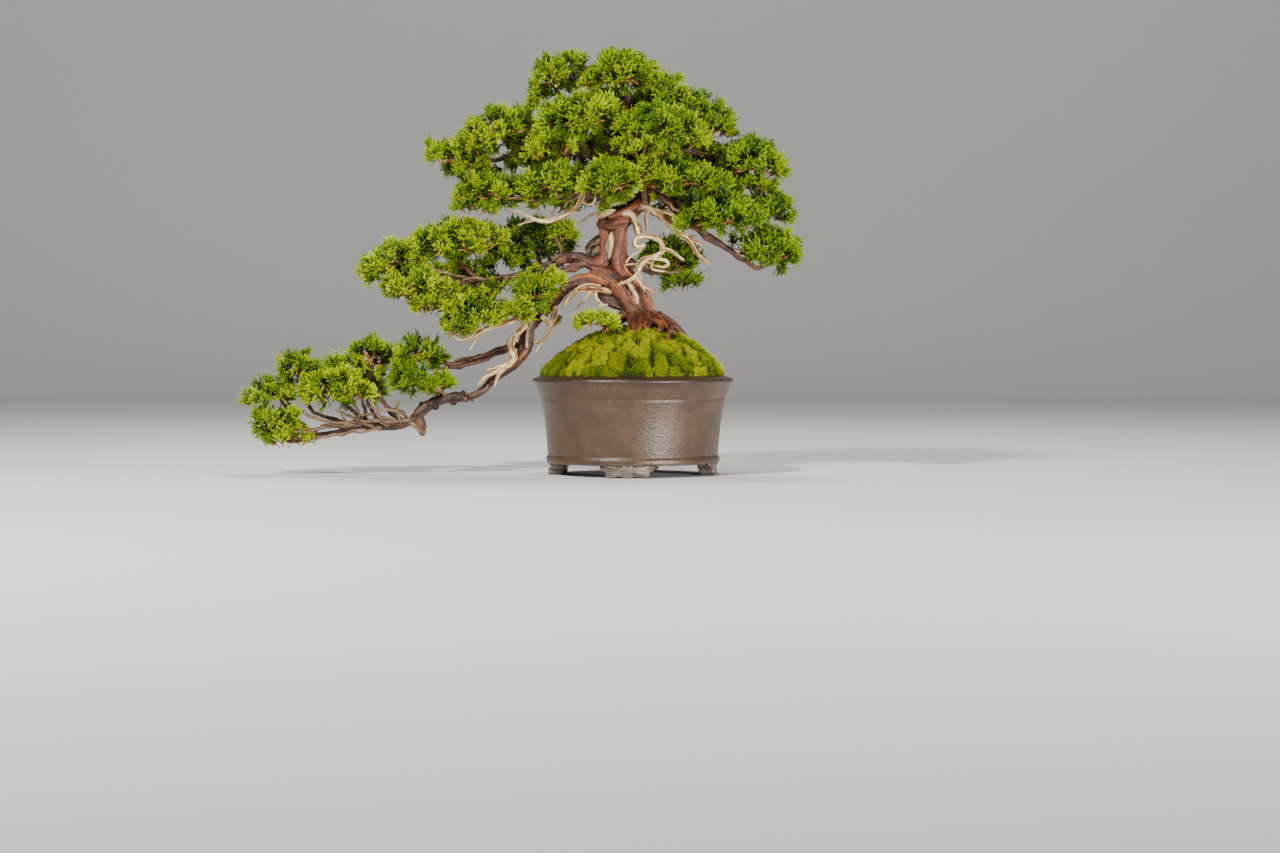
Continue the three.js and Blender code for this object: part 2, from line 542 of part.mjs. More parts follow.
/** Turns a vector from a cloud's own axes to the tree's, or back. */
function sloped(vector, slope, back = false) {
  const turn = THREE.MathUtils.degToRad(back ? slope : -slope)
  return vector.applyAxisAngle(new THREE.Vector3(0, 1, 0), turn)
}

/** How far a cloud reaches along a direction. */
function cloudReach([, size, slope], direction) {
  const own = sloped(direction.clone(), slope, true)
  return Math.hypot(size[0] * own.x, size[1] * own.y, size[2] * own.z)
}

/** The planes that keep a cloud apart from its neighbours, as {normal, offset}. */
function fences(name) {
  const cloud = FOLIAGE[name]
  const here = new THREE.Vector3(...cloud[0])
  const planes = []
  for (const [other, otherCloud] of Object.entries(FOLIAGE)) {
    if (other === name) continue
    const normal = new THREE.Vector3(...otherCloud[0]).sub(here)
    const away = normal.length()
    normal.normalize()
    const mine = cloudReach(cloud, normal)
    const theirs = cloudReach(otherCloud, normal)
    if (mine + theirs < away) continue
    const share = (away * mine) / (mine + theirs)
    planes.push({ normal, offset: normal.dot(here) + share - GAP / 2 })
  }
  return planes
}

/** The point of a cloud's outline in a direction; its underside is flatter than its top. */
function outline([middle, size, slope], direction, share) {
  const drop = direction.z < 0 ? 0.75 : 1
  const reach = new THREE.Vector3(size[0], size[1], size[2] * drop).multiplyScalar(share)
  return sloped(reach.multiply(direction), slope).add(new THREE.Vector3(...middle))
}

function cloudCore(cloud) {
  const [middle, size] = cloud
  const ball = new THREE.OctahedronGeometry(1, 1)
  return toSolid(reshape(ball, (corner) => {
    const lump = 1 + CORE_LUMP * Math.sin(5 * corner.x + middle[0]) * Math.cos(4 * corner.y + size[0])
    corner.copy(outline(cloud, corner, CORE_SHARE * lump))
  }))
}

/** One three-sided shoot from inside the core to the cloud's outline. */
function shoot(from, to) {
  const along = new THREE.Vector3().subVectors(to, from)
  const spike = new THREE.ConeGeometry(SHOOT.radius, along.length(), 3, 1)
  const turn = new THREE.Quaternion().setFromUnitVectors(
    new THREE.Vector3(0, 1, 0), along.clone().normalize(),
  )
  const middle = new THREE.Vector3().addVectors(from, to).multiplyScalar(0.5)
  return toSolid(spike.applyMatrix4(new THREE.Matrix4().compose(middle, turn, new THREE.Vector3(1, 1, 1))))
}

/** Shoots spread evenly over the cloud, shorter or left out where a neighbour is in the way. */
function cloudShoots(cloud, planes, random) {
  const [[x, y, z], [wide, deep, high]] = cloud
  const count = Math.round((4 * Math.PI * (wide * deep + wide * high + deep * high)) / 3 / SHOOT.area)
  const margin = SHOOT.radius + GAP
  const shoots = []
  for (let i = 0; i < count; i++) {
    const up = THREE.MathUtils.lerp(1, -0.72, (i + 0.5) / count)
    const turn = i * 2.39996 + 0.5 * random()
    const flat = Math.sqrt(1 - up * up)
    const direction = new THREE.Vector3(flat * Math.cos(turn), flat * Math.sin(turn), up)
    const root = outline(cloud, direction, CORE_SHARE * 0.6)
    root.x += 6 * (random() - 0.5)
    root.y += 6 * (random() - 0.5)
    root.z -= 4 * random()
    const fits = (point) => planes.every(({ normal, offset }) => normal.dot(point) < offset - margin)
    const full = 0.94 + 0.06 * random()
    const reach = [full, 0.84, 0.74].find((share) => fits(outline(cloud, direction, share)))
    if (reach && fits(root)) shoots.push(shoot(root, outline(cloud, direction, reach)))
  }
  return shoots
}

function foliageCloud(name, random) {
  const cloud = FOLIAGE[name]
  const planes = fences(name)
  let core = cloudCore(cloud)
  for (const { normal, offset } of planes) {
    core = core.trimByPlane(normal.clone().negate().toArray(), -offset)
  }
  return join([core, ...cloudShoots(cloud, planes, random)])
}

// ---- Putting it together ------------------------------------------------------------------

const tree = new THREE.Group()

function add(name, solid, material, tidy = TIDY) {
  const mesh = new THREE.Mesh(toGeometry(solid, tidy), material)
  mesh.name = name
  tree.add(mesh)
}

const woodClearance = wood(GAP)

add('pot', pot(), stoneware())
add('drain_screen', drainScreen(), blackPlastic())
add('soil', soil().subtract(woodClearance), darkSoil())

const soilClearance = soil().translate(0, 0, GAP)
const mossEnd = (i) => MOSS_EDGES[i + 1] ?? MOSS_EDGES[0] + 360
MOSS_EDGES.forEach((start, i) => {
  const patch = mossPatch(start, mossEnd(i)).subtract(soilClearance).subtract(woodClearance)
  add(`moss_${i + 1}`, patch, greenMoss())
})

add('trunk_and_branches', wood(), redBark(), WOOD_TIDY)

// Each later piece is cut back from what is already in place.
let taken = woodClearance
for (const [name, strands] of Object.entries(DEADWOOD)) {
  add(name, deadwood(strands).subtract(taken), bleachedWood())
  taken = taken.add(deadwood(strands, GAP))
}

for (const [name, winding] of Object.entries(WIRES)) {
  add(name, wire(winding).subtract(taken), agedWire())
  taken = taken.add(wire(winding, GAP))
}

taken = taken.add(join(MOSS_EDGES.map((start, i) => mossPatch(start, mossEnd(i)))))
const random = randomFrom(SEED)
for (const name of Object.keys(FOLIAGE)) {
  add(`foliage_${name}`, foliageCloud(name, random).subtract(taken), scaleLeaf())
}

const box = new THREE.Box3().setFromObject(tree)
tree.position.set(-(box.min.x + box.max.x) / 2, -(box.min.y + box.max.y) / 2, -box.min.z)

export default tree
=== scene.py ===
"""A bonsai juniper in a round stoneware pot: the finished look around the solid model.

Routes and sizes are millimetres about the pot's axis with the ground at Z = 0, as in the model's
source. place() turns them into metres in the row frame. -Y is the front.
"""

import math

import bpy
import numpy as np
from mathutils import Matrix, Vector


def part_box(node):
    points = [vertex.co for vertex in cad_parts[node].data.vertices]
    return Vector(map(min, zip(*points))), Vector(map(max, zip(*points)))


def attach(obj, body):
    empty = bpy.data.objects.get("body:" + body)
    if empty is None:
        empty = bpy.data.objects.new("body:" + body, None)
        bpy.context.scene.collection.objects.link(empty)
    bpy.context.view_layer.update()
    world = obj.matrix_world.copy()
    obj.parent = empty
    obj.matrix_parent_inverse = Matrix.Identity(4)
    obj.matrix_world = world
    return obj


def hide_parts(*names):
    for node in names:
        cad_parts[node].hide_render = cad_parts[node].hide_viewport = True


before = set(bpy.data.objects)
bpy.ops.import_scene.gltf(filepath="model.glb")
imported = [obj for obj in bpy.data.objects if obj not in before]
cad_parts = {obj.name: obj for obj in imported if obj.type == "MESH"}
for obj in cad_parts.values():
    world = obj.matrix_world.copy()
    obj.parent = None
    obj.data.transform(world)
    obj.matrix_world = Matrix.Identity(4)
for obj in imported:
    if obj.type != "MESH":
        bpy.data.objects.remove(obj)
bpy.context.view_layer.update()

MM = 0.001
POT_LOW, POT_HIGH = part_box("pot")
AXIS = np.array([(POT_LOW.x + POT_HIGH.x) / 2, (POT_LOW.y + POT_HIGH.y) / 2, POT_LOW.z])
RNG = np.random.default_rng(4217)

# ---- The tree's shape, close to the model's -----------------------------------------------

# The stoutest limbs: the points of each one's route, and its radius at each point.
TRUNK = {
    "route": [
        [27, 2, 118], [26, 1, 160], [20, 0, 193], [11, 0, 215], [0, -2, 241], [-14, -5, 266],
        [-24, -6, 290], [-27, -4, 316], [-26, -1, 336], [-16, 5, 350], [4, 11, 361],
        [18, 10, 379], [22, 4, 403], [9, -2, 424], [-14, 2, 438], [-26, 8, 455], [-20, 10, 476],
        [-9, 6, 495], [-8, 2, 516], [-12, 0, 532],
    ],
    "radii": [
        16, 22, 25, 19.5, 20, 21, 19.5, 19.5, 21, 17, 14, 12.5, 11.5, 11, 10.5, 9, 8, 6.5, 5,
        3.5,
    ],
}
UPPER_BRANCH = {
    "route": [
        [-22, -5, 272], [-44, -8, 283], [-63, -8, 290], [-80, -6, 292], [-96, -5, 291],
        [-108, -5, 283], [-125, -3, 275], [-152, 0, 268], [-180, 3, 262], [-207, 5, 258],
        [-234, 5, 260], [-254, 5, 266],
    ],
    "radii": [11, 9.5, 8.5, 8, 7.5, 7.5, 7, 6.5, 6, 5.5, 4.5, 3.5],
}
CASCADE = {
    "route": [
        [-10, -6, 248], [-30, -8, 251], [-49, -10, 258], [-64, -10, 260], [-82, -9, 256],
        [-95, -8, 247], [-107, -6, 234], [-122, -4, 219], [-135, -4, 204], [-144, -3, 190],
        [-148, -3, 176], [-150, -5, 162], [-159, -7, 150], [-173, -8, 140], [-189, -9, 128],
        [-200, -9, 115], [-213, -10, 107], [-232, -10, 103], [-252, -10, 102], [-272, -9, 95],
        [-294, -8, 76], [-308, -7, 67], [-336, -6, 64], [-368, -5, 65], [-400, -4, 57],
        [-429, -3, 52], [-464, -4, 45], [-494, -13, 60],
    ],
    "radii": [
        13, 12, 11, 10.5, 10, 9.5, 9, 8.5, 8, 8, 8, 7.5, 7, 6.5, 6, 6, 6, 6, 6, 7, 7.5, 5.5, 5,
        4.5, 4, 3.5, 3, 2,
    ],
}
ROOTS = [
    [[6, -14, 216], [0, -31, 203], [1, -46, 194], [2, -62, 181]],
    [[10, -16, 212], [9, -34, 201], [11, -48, 191]],
    [[20, -14, 213], [19, -34, 202], [15, -50, 190]],
    [[26, -10, 215], [38, -23, 205], [47, -36, 196], [47, -60, 178]],
    [[-2, -8, 222], [-22, -17, 206], [-29, -35, 194], [-38, -52, 180]],
    [[8, 14, 214], [1, 36, 201], [-8, 58, 181]],
    [[26, 12, 214], [40, 33, 200], [50, 56, 178]],
    [[32, 2, 214], [52, 5, 203], [72, 10, 185]],
    [[4, 6, 222], [-22, 12, 205], [-48, 22, 186]],
]
ROOT_RADII = [8, 3.2]
# The other limbs and branchlets: [first radius, last radius, route].
LIMBS = [
    [8, 5, [[-34, 10, 296], [-42, 11, 303], [-48, 11, 307]]],
    [5, 4, [[-56, -12, 286], [-80, -14, 278], [-98, -11, 274], [-118, -7, 274]]],
    [8.5, 4, [[-12, 2, 436], [-45, -3, 433], [-90, -5, 435], [-138, -3, 440], [-182, -8, 456]]],
    [4, 2.5, [[-130, -3, 437], [-178, 6, 426], [-224, 13, 424]]],
    [4, 2.5, [[-18, 3, 452], [-42, -20, 457], [-66, -40, 468]]],
    [5, 2.5, [[-20, 8, 474], [-56, 9, 482], [-88, 9, 496], [-104, 8, 520]]],
    [7, 3, [[12, 8, 392], [-20, -2, 385], [-62, -8, 377], [-112, -14, 371], [-172, -18, 372]]],
    [3, 2.2, [[-72, -9, 376], [-92, -22, 382], [-108, -32, 390]]],
    [4, 2.5, [[12, -2, 410], [-4, -28, 396], [-24, -50, 387]]],
    [5, 2.5, [[-8, 6, 482], [26, 14, 478], [66, 22, 486]]],
    [4.5, 2.5, [[-4, 0, 434], [12, -24, 443], [38, -48, 458]]],
    [7, 3, [[2, 0, 428], [42, 6, 430], [84, 8, 434], [124, 6, 426], [154, 5, 420]]],
    [4.5, 2.5, [[20, 4, 404], [36, -20, 398], [52, -34, 390]]],
    [7, 2.5, [
        [18, 8, 381], [38, 2, 373], [54, -2, 362], [66, -4, 348], [80, -6, 338], [96, -8, 325],
        [116, -10, 312], [150, -10, 288], [172, -10, 279], [198, -10, 294],
    ]],
    [5, 2.5, [[24, 8, 384], [62, 12, 371], [106, 16, 366], [150, 19, 358], [178, 20, 352]]],
    [3.5, 2.5, [[70, -5, 344], [94, -16, 340], [116, -22, 338]]],
    [6, 2.5, [[-12, 8, 462], [-26, 44, 470], [-42, 76, 484]]],
    [5.5, 2.5, [[-10, 9, 488], [18, 42, 486], [46, 78, 492]]],
    [5, 2.5, [[-24, 8, 446], [-70, 40, 440], [-112, 72, 442]]],
    [6, 2.5, [[4, 4, 428], [12, 52, 430], [20, 96, 432]]],
    [5, 2.5, [[14, 6, 420], [54, 44, 424], [90, 76, 424]]],
    [5.5, 2.5, [[10, 12, 374], [-34, 48, 374], [-76, 82, 380]]],
    [5.5, 2.5, [[20, 10, 388], [58, 52, 372], [100, 76, 358]]],
    [6, 3, [[-12, 6, 290], [12, 44, 280], [36, 74, 274], [50, 88, 282]]],
    [3.5, 2, [[-246, 5, 263], [-284, 2, 272], [-318, -4, 284]]],
    [4, 2, [[-205, 5, 259], [-232, 10, 282], [-252, 14, 304]]],
    [4, 2, [[-124, -2, 275], [-128, 28, 290], [-136, 52, 304]]],
    [4, 2, [[-228, 4, 259], [-260, -18, 248], [-288, -34, 242]]],
    [4, 2, [[-162, 1, 266], [-190, -11, 242], [-212, -21, 222]]],
    [4, 2, [[-126, -4, 274], [-134, -30, 254], [-138, -52, 240]]],
    [2.2, 1.6, [[-96, -4, 296], [-101, -10, 314], [-104, -14, 330]]],
    [3.5, 2, [[-176, 3, 263], [-206, 32, 256], [-232, 56, 254]]],
    [3, 2, [[-4, -12, 222], [-24, -30, 204], [-44, -40, 201]]],
    [4, 2.5, [
        [-140, -4, 178], [-152, 4, 176], [-180, 8, 167], [-212, 9, 156], [-250, 10, 150],
        [-280, 12, 158],
    ]],
    [6, 4, [[-292, -8, 80], [-288, -10, 66], [-283, -10, 54]]],
    [3, 2, [[-254, -9, 101], [-268, -14, 112], [-288, -19, 124]]],
    [3.5, 2, [[-306, -7, 70], [-328, 2, 84], [-342, 12, 106], [-360, 18, 153]]],
    [3.5, 2, [[-350, -6, 65], [-374, -14, 82], [-400, -25, 112]]],
    [3.5, 2, [[-372, -5, 64], [-404, 2, 72], [-436, 8, 86], [-454, 14, 144]]],
    [3, 2, [[-424, -3, 53], [-456, -2, 78], [-482, 1, 109]]],
    [3, 2, [[-334, -6, 65], [-350, 24, 78], [-371, 54, 108]]],
    [2.8, 1.8, [[-352, -6, 66], [-359, -14, 80], [-364, -20, 100], [-362, -22, 124]]],
    [2.8, 1.8, [[-300, -8, 74], [-317, -16, 86], [-333, -20, 93], [-340, -22, 112]]],
    [3, 1.8, [[-368, -5, 65], [-402, -13, 65], [-436, -15, 61], [-464, -16, 70]]],
    [3.2, 2.4, [[-148, 0, 176], [-172, 4, 167], [-206, 4, 153], [-236, 4, 145], [-262, 6, 143]]],
    [3.6, 2.4, [[-146, -2, 172], [-176, 6, 169], [-206, 8, 160], [-240, 9, 152]]],
]
# The bleached pieces, each of several strands laid out as in LIMBS.
DEADWOOD = {
    "jin_curled": [
        [4.6, 5.2, [
            [-18, -10, 345], [-9, -21, 351], [-1, -24, 348], [4, -25, 337], [8, -25, 325],
            [14, -24, 316],
        ]],
        [2.6, 4.3, [
            [16, -28, 308], [8, -30, 305], [2, -30, 309], [4, -30, 316], [14, -30, 320],
            [25, -29, 319], [35, -29, 315], [40, -29, 307], [40, -29, 299], [35, -30, 294],
        ]],
        [4.2, 3.5, [
            [37, -29, 296], [28, -31, 292], [19, -31, 290], [12, -32, 285], [8, -33, 277],
            [7, -34, 267],
        ]],
        [3.1, 1.8, [[8, -33, 269], [-1, -35, 263], [-9, -36, 259], [-19, -36, 256]]],
        [3.1, 1.6, [[7, -34, 269], [9, -35, 260], [12, -35, 253], [16, -35, 245]]],
        [2, 1.4, [[12, -35, 254], [24, -35, 248], [31, -34, 242]]],
        [2.4, 1.5, [[39, -29, 304], [51, -29, 300], [59, -28, 294], [69, -27, 287]]],
        [2.4, 1.8, [
            [26, -30, 290], [36, -29, 289], [44, -27, 287], [47, -26, 283], [42, -27, 279],
            [30, -29, 280],
        ]],
        [1.8, 1.4, [
            [14, -26, 305], [8, -26, 299], [0, -27, 295], [-6, -28, 290], [-9, -28, 284],
        ]],
    ],
    "jin_right": [
        [6, 4.5, [
            [10, -2, 362], [21, -10, 357], [32, -14, 352], [41, -17, 346], [48, -18, 338],
            [55, -19, 331],
        ]],
        [4.2, 2, [
            [54, -19, 332], [62, -20, 324], [73, -20, 316], [80, -20, 307], [86, -20, 297],
            [94, -20, 289], [104, -20, 281],
        ]],
        [3, 2.2, [[32, -14, 353], [44, -20, 352], [54, -24, 347], [58, -25, 334]]],
        [2.2, 1.6, [[72, -20, 318], [79, -21, 319], [86, -22, 320]]],
        [2.2, 1.4, [[70, -20, 318], [86, -22, 312], [98, -22, 306]]],
        [2, 1.4, [[47, -18, 338], [46, -20, 331], [46, -20, 323]]],
        [2.8, 1.5, [[19, -12, 355], [18, -18, 342], [20, -18, 325]]],
    ],
    "jin_left": [
        [3.4, 4.2, [[-66, -12, 377], [-70, -20, 370], [-77, -24, 359], [-88, -25, 350]]],
        [4.2, 2.4, [
            [-86, -25, 351], [-98, -25, 345], [-112, -25, 340], [-124, -25, 340],
            [-136, -25, 344],
        ]],
        [2.4, 1.4, [[-132, -25, 343], [-141, -25, 347], [-157, -26, 354], [-168, -26, 352]]],
        [2.2, 1.4, [[-132, -25, 342], [-143, -25, 339], [-154, -25, 334]]],
        [2, 1.3, [[-104, -25, 343], [-107, -25, 349], [-111, -26, 354]]],
        [2.2, 1.4, [[-70, -21, 369], [-62, -23, 363], [-53, -24, 365], [-50, -23, 372]]],
    ],
    "jin_cascade": [
        [3.6, 5, [
            [-134, -8, 207], [-147, -15, 197], [-158, -18, 187], [-164, -18, 177],
            [-161, -18, 165],
        ]],
        [5, 4, [[-162, -18, 169], [-160, -18, 158], [-166, -19, 149], [-174, -20, 143]]],
        [3, 1.8, [[-168, -19, 147], [-184, -21, 144], [-197, -21, 141]]],
        [3.4, 1.8, [[-171, -20, 145], [-188, -21, 137], [-200, -21, 130], [-208, -21, 120]]],
        [2.8, 1.5, [[-172, -20, 145], [-180, -21, 134], [-186, -22, 119]]],
    ],
    "jin_forked": [
        [4, 3.2, [
            [-128, -6, 216], [-142, -16, 213], [-164, -24, 206], [-198, -30, 195],
            [-214, -31, 185],
        ]],
        [3.2, 1.4, [[-209, -31, 188], [-229, -31, 181], [-236, -31, 183], [-246, -31, 190]]],
        [2.4, 1.3, [[-200, -30, 193], [-209, -31, 183], [-219, -32, 167]]],
        [2, 1.3, [[-190, -28, 198], [-204, -30, 196], [-218, -31, 191]]],
    ],
    "jin_hanging": [
        [4, 3, [[-104, -12, 226], [-108, -20, 208], [-112, -22, 196], [-120, -23, 182]]],
        [3.4, 2.2, [[-108, -20, 206], [-102, -21, 203], [-96, -20, 211]]],
        [2.4, 1.3, [[-115, -22, 187], [-125, -23, 178], [-134, -24, 178]]],
        [2.2, 1.3, [[-118, -23, 184], [-124, -24, 175], [-131, -25, 164]]],
    ],
    "jin_small": [
        [3, 2.2, [[-50, -14, 247], [-48, -25, 236], [-42, -29, 228]]],
        [2, 1.4, [[-44, -28, 231], [-40, -29, 228], [-33, -30, 229]]],
        [2, 1.4, [[-45, -28, 232], [-42, -30, 224], [-39, -31, 216]]],
    ],
    "deadwood_band": [
        [4.5, 5, [[-34, -17, 246], [-50, -20, 250], [-65, -21, 250], [-78, -19, 247]]],
        [5, 3, [[-74, -19, 248], [-88, -17, 236], [-94, -14, 222]]],
        [2.6, 1.4, [[-56, -22, 246], [-67, -23, 232], [-78, -22, 221]]],
    ],
}
# Veins of the front of the trunk and of the branches' first stretch: [how old and flaky the bark
# is, 1 where the wood is bare, rows of x, y, z and radius].
VEINS = [
    [0.0, 0, [  # the right one, from the cap to the ground
        [-13, -10, 352, 7], [-16, -14, 340, 9], [-17, -16, 326, 10], [-18, -16, 310, 10],
        [-19.5, -16, 296, 9.5], [-19, -16, 283, 9.5], [-13, -15, 271, 10], [-2, -15, 263, 7.5],
        [9, -14, 254, 6], [15.5, -13, 244, 6], [19.5, -12, 229, 7.5], [22, -10, 215, 8.5],
        [27, -8, 203, 7.5], [34, -6, 193, 5],
    ]],
    [0.0, 0, [  # the left one, which turns into the upper branch
        [-37, -8, 346, 6], [-38.5, -11, 332, 7], [-38.5, -13, 318, 6.5], [-38, -14, 304, 6.5],
        [-38, -14, 293, 8], [-43, -13, 285, 9.5], [-53, -12, 285, 8.5], [-63, -11, 289, 7],
        [-73, -10, 293, 5.5], [-85, -9, 293, 5], [-96, -9, 289, 4.5], [-106, -8, 281, 4],
        [-118, -7, 275, 4],
    ]],
    [0.05, 0, [  # the upper branch's lower strand
        [-22, -12, 263, 9], [-34, -13, 267, 10.5], [-46, -13, 274, 9], [-57, -12, 281, 6],
        [-67, -12, 284, 5], [-78, -12, 281, 4.5], [-88, -11, 276, 4.5], [-98, -10, 270, 4],
    ]],
    [0.05, 0, [  # the lower trunk's left one
        [-34, -10, 270, 8], [-27, -13, 259, 10], [-18, -15, 248, 10.5], [-10, -15, 236, 10],
        [-3, -15, 225, 9.5], [1, -14, 213, 8.5], [1, -17, 203, 6.5], [1, -25, 193, 4.5],
    ]],
    [0.1, 0, [[2, -8, 262, 8], [4, -7, 244, 8.5], [9, -7, 226, 9], [13, -8, 210, 9]]],
    [0.1, 0, [[12, -14, 216, 5], [13, -19, 205, 5], [12, -26, 196, 4], [11, -34, 188, 3]]],
    [0.1, 0, [[22, -13, 214, 5.5], [31, -19, 204, 5], [39, -26, 195, 4.2], [45, -32, 184, 3]]],
    # gnarled roots over the moss
    [0.3, 0, [[0, -20, 214, 6], [-3, -33, 207, 5.5], [1, -46, 200.5, 4.6], [3, -61, 191.5, 3.4]]],
    [0.3, 0, [[9, -20, 212, 5], [12, -34, 206, 4.6], [9, -46, 200, 3.8], [6, -54, 195, 3]]],
    [0.3, 0, [[18, -20, 212, 4], [20, -32, 206, 3.8], [16, -42, 201, 3.2], [19, -53, 196, 2.6]]],
    [0.3, 0, [[24, -16, 212, 5.5], [31, -30, 207, 5], [38, -42, 201, 4.2], [34, -57, 193, 3.2]]],
    [0.3, 0, [[32, -10, 210, 5.5], [44, -22, 205, 5], [51, -34, 200, 4.2], [50, -51, 192, 3.2]]],
    [0.3, 0, [[-8, -14, 214, 5], [-22, -24, 207, 4.2], [-33, -35, 199, 3.4], [-40, -47, 192, 2.6]]],
    [0.05, 0, [  # the cascading branch's upper strand
        [-12, -13, 257, 8.5], [-28, -14, 258, 8.5], [-44, -15, 262, 7], [-58, -15, 265, 6.2],
        [-72, -14, 264, 5.6], [-84, -13, 258, 5.2], [-94, -12, 249, 5],
    ]],
    [1.0, 0, [  # its dark, rough underside
        [-48, -6, 243, 5], [-36, -7, 238, 7], [-26, -7, 233, 8], [-16, -6, 228, 8],
        [-8, -4, 220, 7],
    ]],
    [0.0, 0, [  # the turban of bark under the cap
        [-45, -9, 338, 6], [-39, -16, 336, 6.2], [-27, -20, 337, 7], [-14, -20, 340, 7],
        [-4, -15, 345, 6], [2, -6, 352, 6],
    ]],
    [0.0, 0, [
        [-45, -4, 335, 5], [-38, -16, 333, 4.8], [-25, -21, 334, 5], [-11, -19, 336, 5],
        [-4, -12, 341, 5],
    ]],
    [0.0, 0, [  # the band that rises to the right over it
        [-32, -19, 344, 3], [-22, -20, 349, 4.4], [-11, -18, 354, 5], [2, -10, 361, 6],
        [12, 1, 368, 7], [17, 6, 379, 7],
    ]],
    [0.3, 0, [[14, -3, 358, 4.5], [16, -4, 370, 5], [14, -5, 384, 5.5], [18, -2, 398, 6]]],
    [0.0, 1, [  # the pale cap
        [-46, -8, 348, 4.6], [-38, -15, 351, 5.4], [-30, -18, 352.5, 5.2], [-23, -18, 353, 3.6],
    ]],
    [0.0, 1, [[-43, 0, 351, 5.5], [-30, 4, 354, 6.5], [-16, 8, 357, 6]]],
    [0.0, 1, [  # the bare strip between the two front veins
        [-27.5, -16, 325, 3.4], [-28, -18.5, 318, 4.2], [-29.5, -19, 309, 4.8],
        [-31.5, -18.5, 300, 4.2], [-34, -17.5, 290, 2.6],
    ]],
    [0.0, 1, [[-33.5, -19, 312, 2], [-35, -19.5, 305, 2.2], [-36, -19, 298, 1.6]]],
    [0.0, 1, [  # the bare strip low on the trunk
        [-7, -20, 259, 2.2], [-2, -20.5, 252, 3.4], [2, -20, 244, 3.6], [5, -18.5, 236, 3],
        [6, -17.5, 230, 1.8],
    ]],
    [0.7, 0.2, [[-32, 2, 321, 7], [-42, 4, 316, 8], [-52, 6, 308, 9], [-60, 7, 300, 6]]],
    [0.7, 0.26, [[-34, 0, 306, 8], [-44, 2, 303, 8], [-52, 3, 299, 6]]],
    [0.7, 0.12, [[-36, -3, 317, 5], [-46, -2, 314, 5.5], [-56, 1, 308, 4.5]]],
    [1.0, 0, [[-292, -8, 82, 5], [-287, -10, 70, 8], [-283, -10, 60, 5.5]]],
    [0.35, 0, [
        [-130, -8, 214, 5], [-137, -12, 203, 5.5], [-138.5, -13, 188, 5.5], [-140, -13, 172, 5.5],
        [-149, -13, 158, 5], [-162, -12, 148, 4.5], [-178, -12, 138, 4.5], [-192, -12, 124, 4.5],
    ]],
    [0.0, 1, [[-136, -16, 206, 2.4], [-141, -18, 190, 2.6], [-142, -18, 172, 2.4]]],
    [1.0, 0, [
        [-222, -14, 101, 4.5], [-238, -10, 107, 5], [-254, -15, 102, 5], [-268, -10, 97, 5.5],
        [-280, -14, 92, 5.5], [-292, -12, 82, 6],
    ]],
]
# Edges where the bark peels orange: paths over the surface and a half width.
ORANGE_EDGES = [
    [[[-6, -18, 326], [-8, -18, 306], [-10.5, -18, 290], [-9, -20, 277], [0, -22, 267]], 2.6],
    [[[-44, -20, 262], [-32, -23, 260], [-18, -25, 257], [-6, -25, 259], [6, -22, 262]], 3.6],
    [[[20, -18, 250], [25, -18, 238], [28, -16, 224], [31, -14, 210]], 3.2],
    [[[-90, -14, 258], [-76, -18, 267], [-60, -19, 270], [-44, -20, 266]], 2.6],
    [[[-48, -14, 345], [-46, -18, 337], [-44, -16, 330], [-45, -14, 322]], 3.0],
    [[[-36, -22, 346], [-24, -24, 348], [-12, -22, 353], [2, -15, 358]], 2.6],
    [[[-36, -24, 331], [-22, -26, 331], [-8, -24, 334]], 2.2],
]
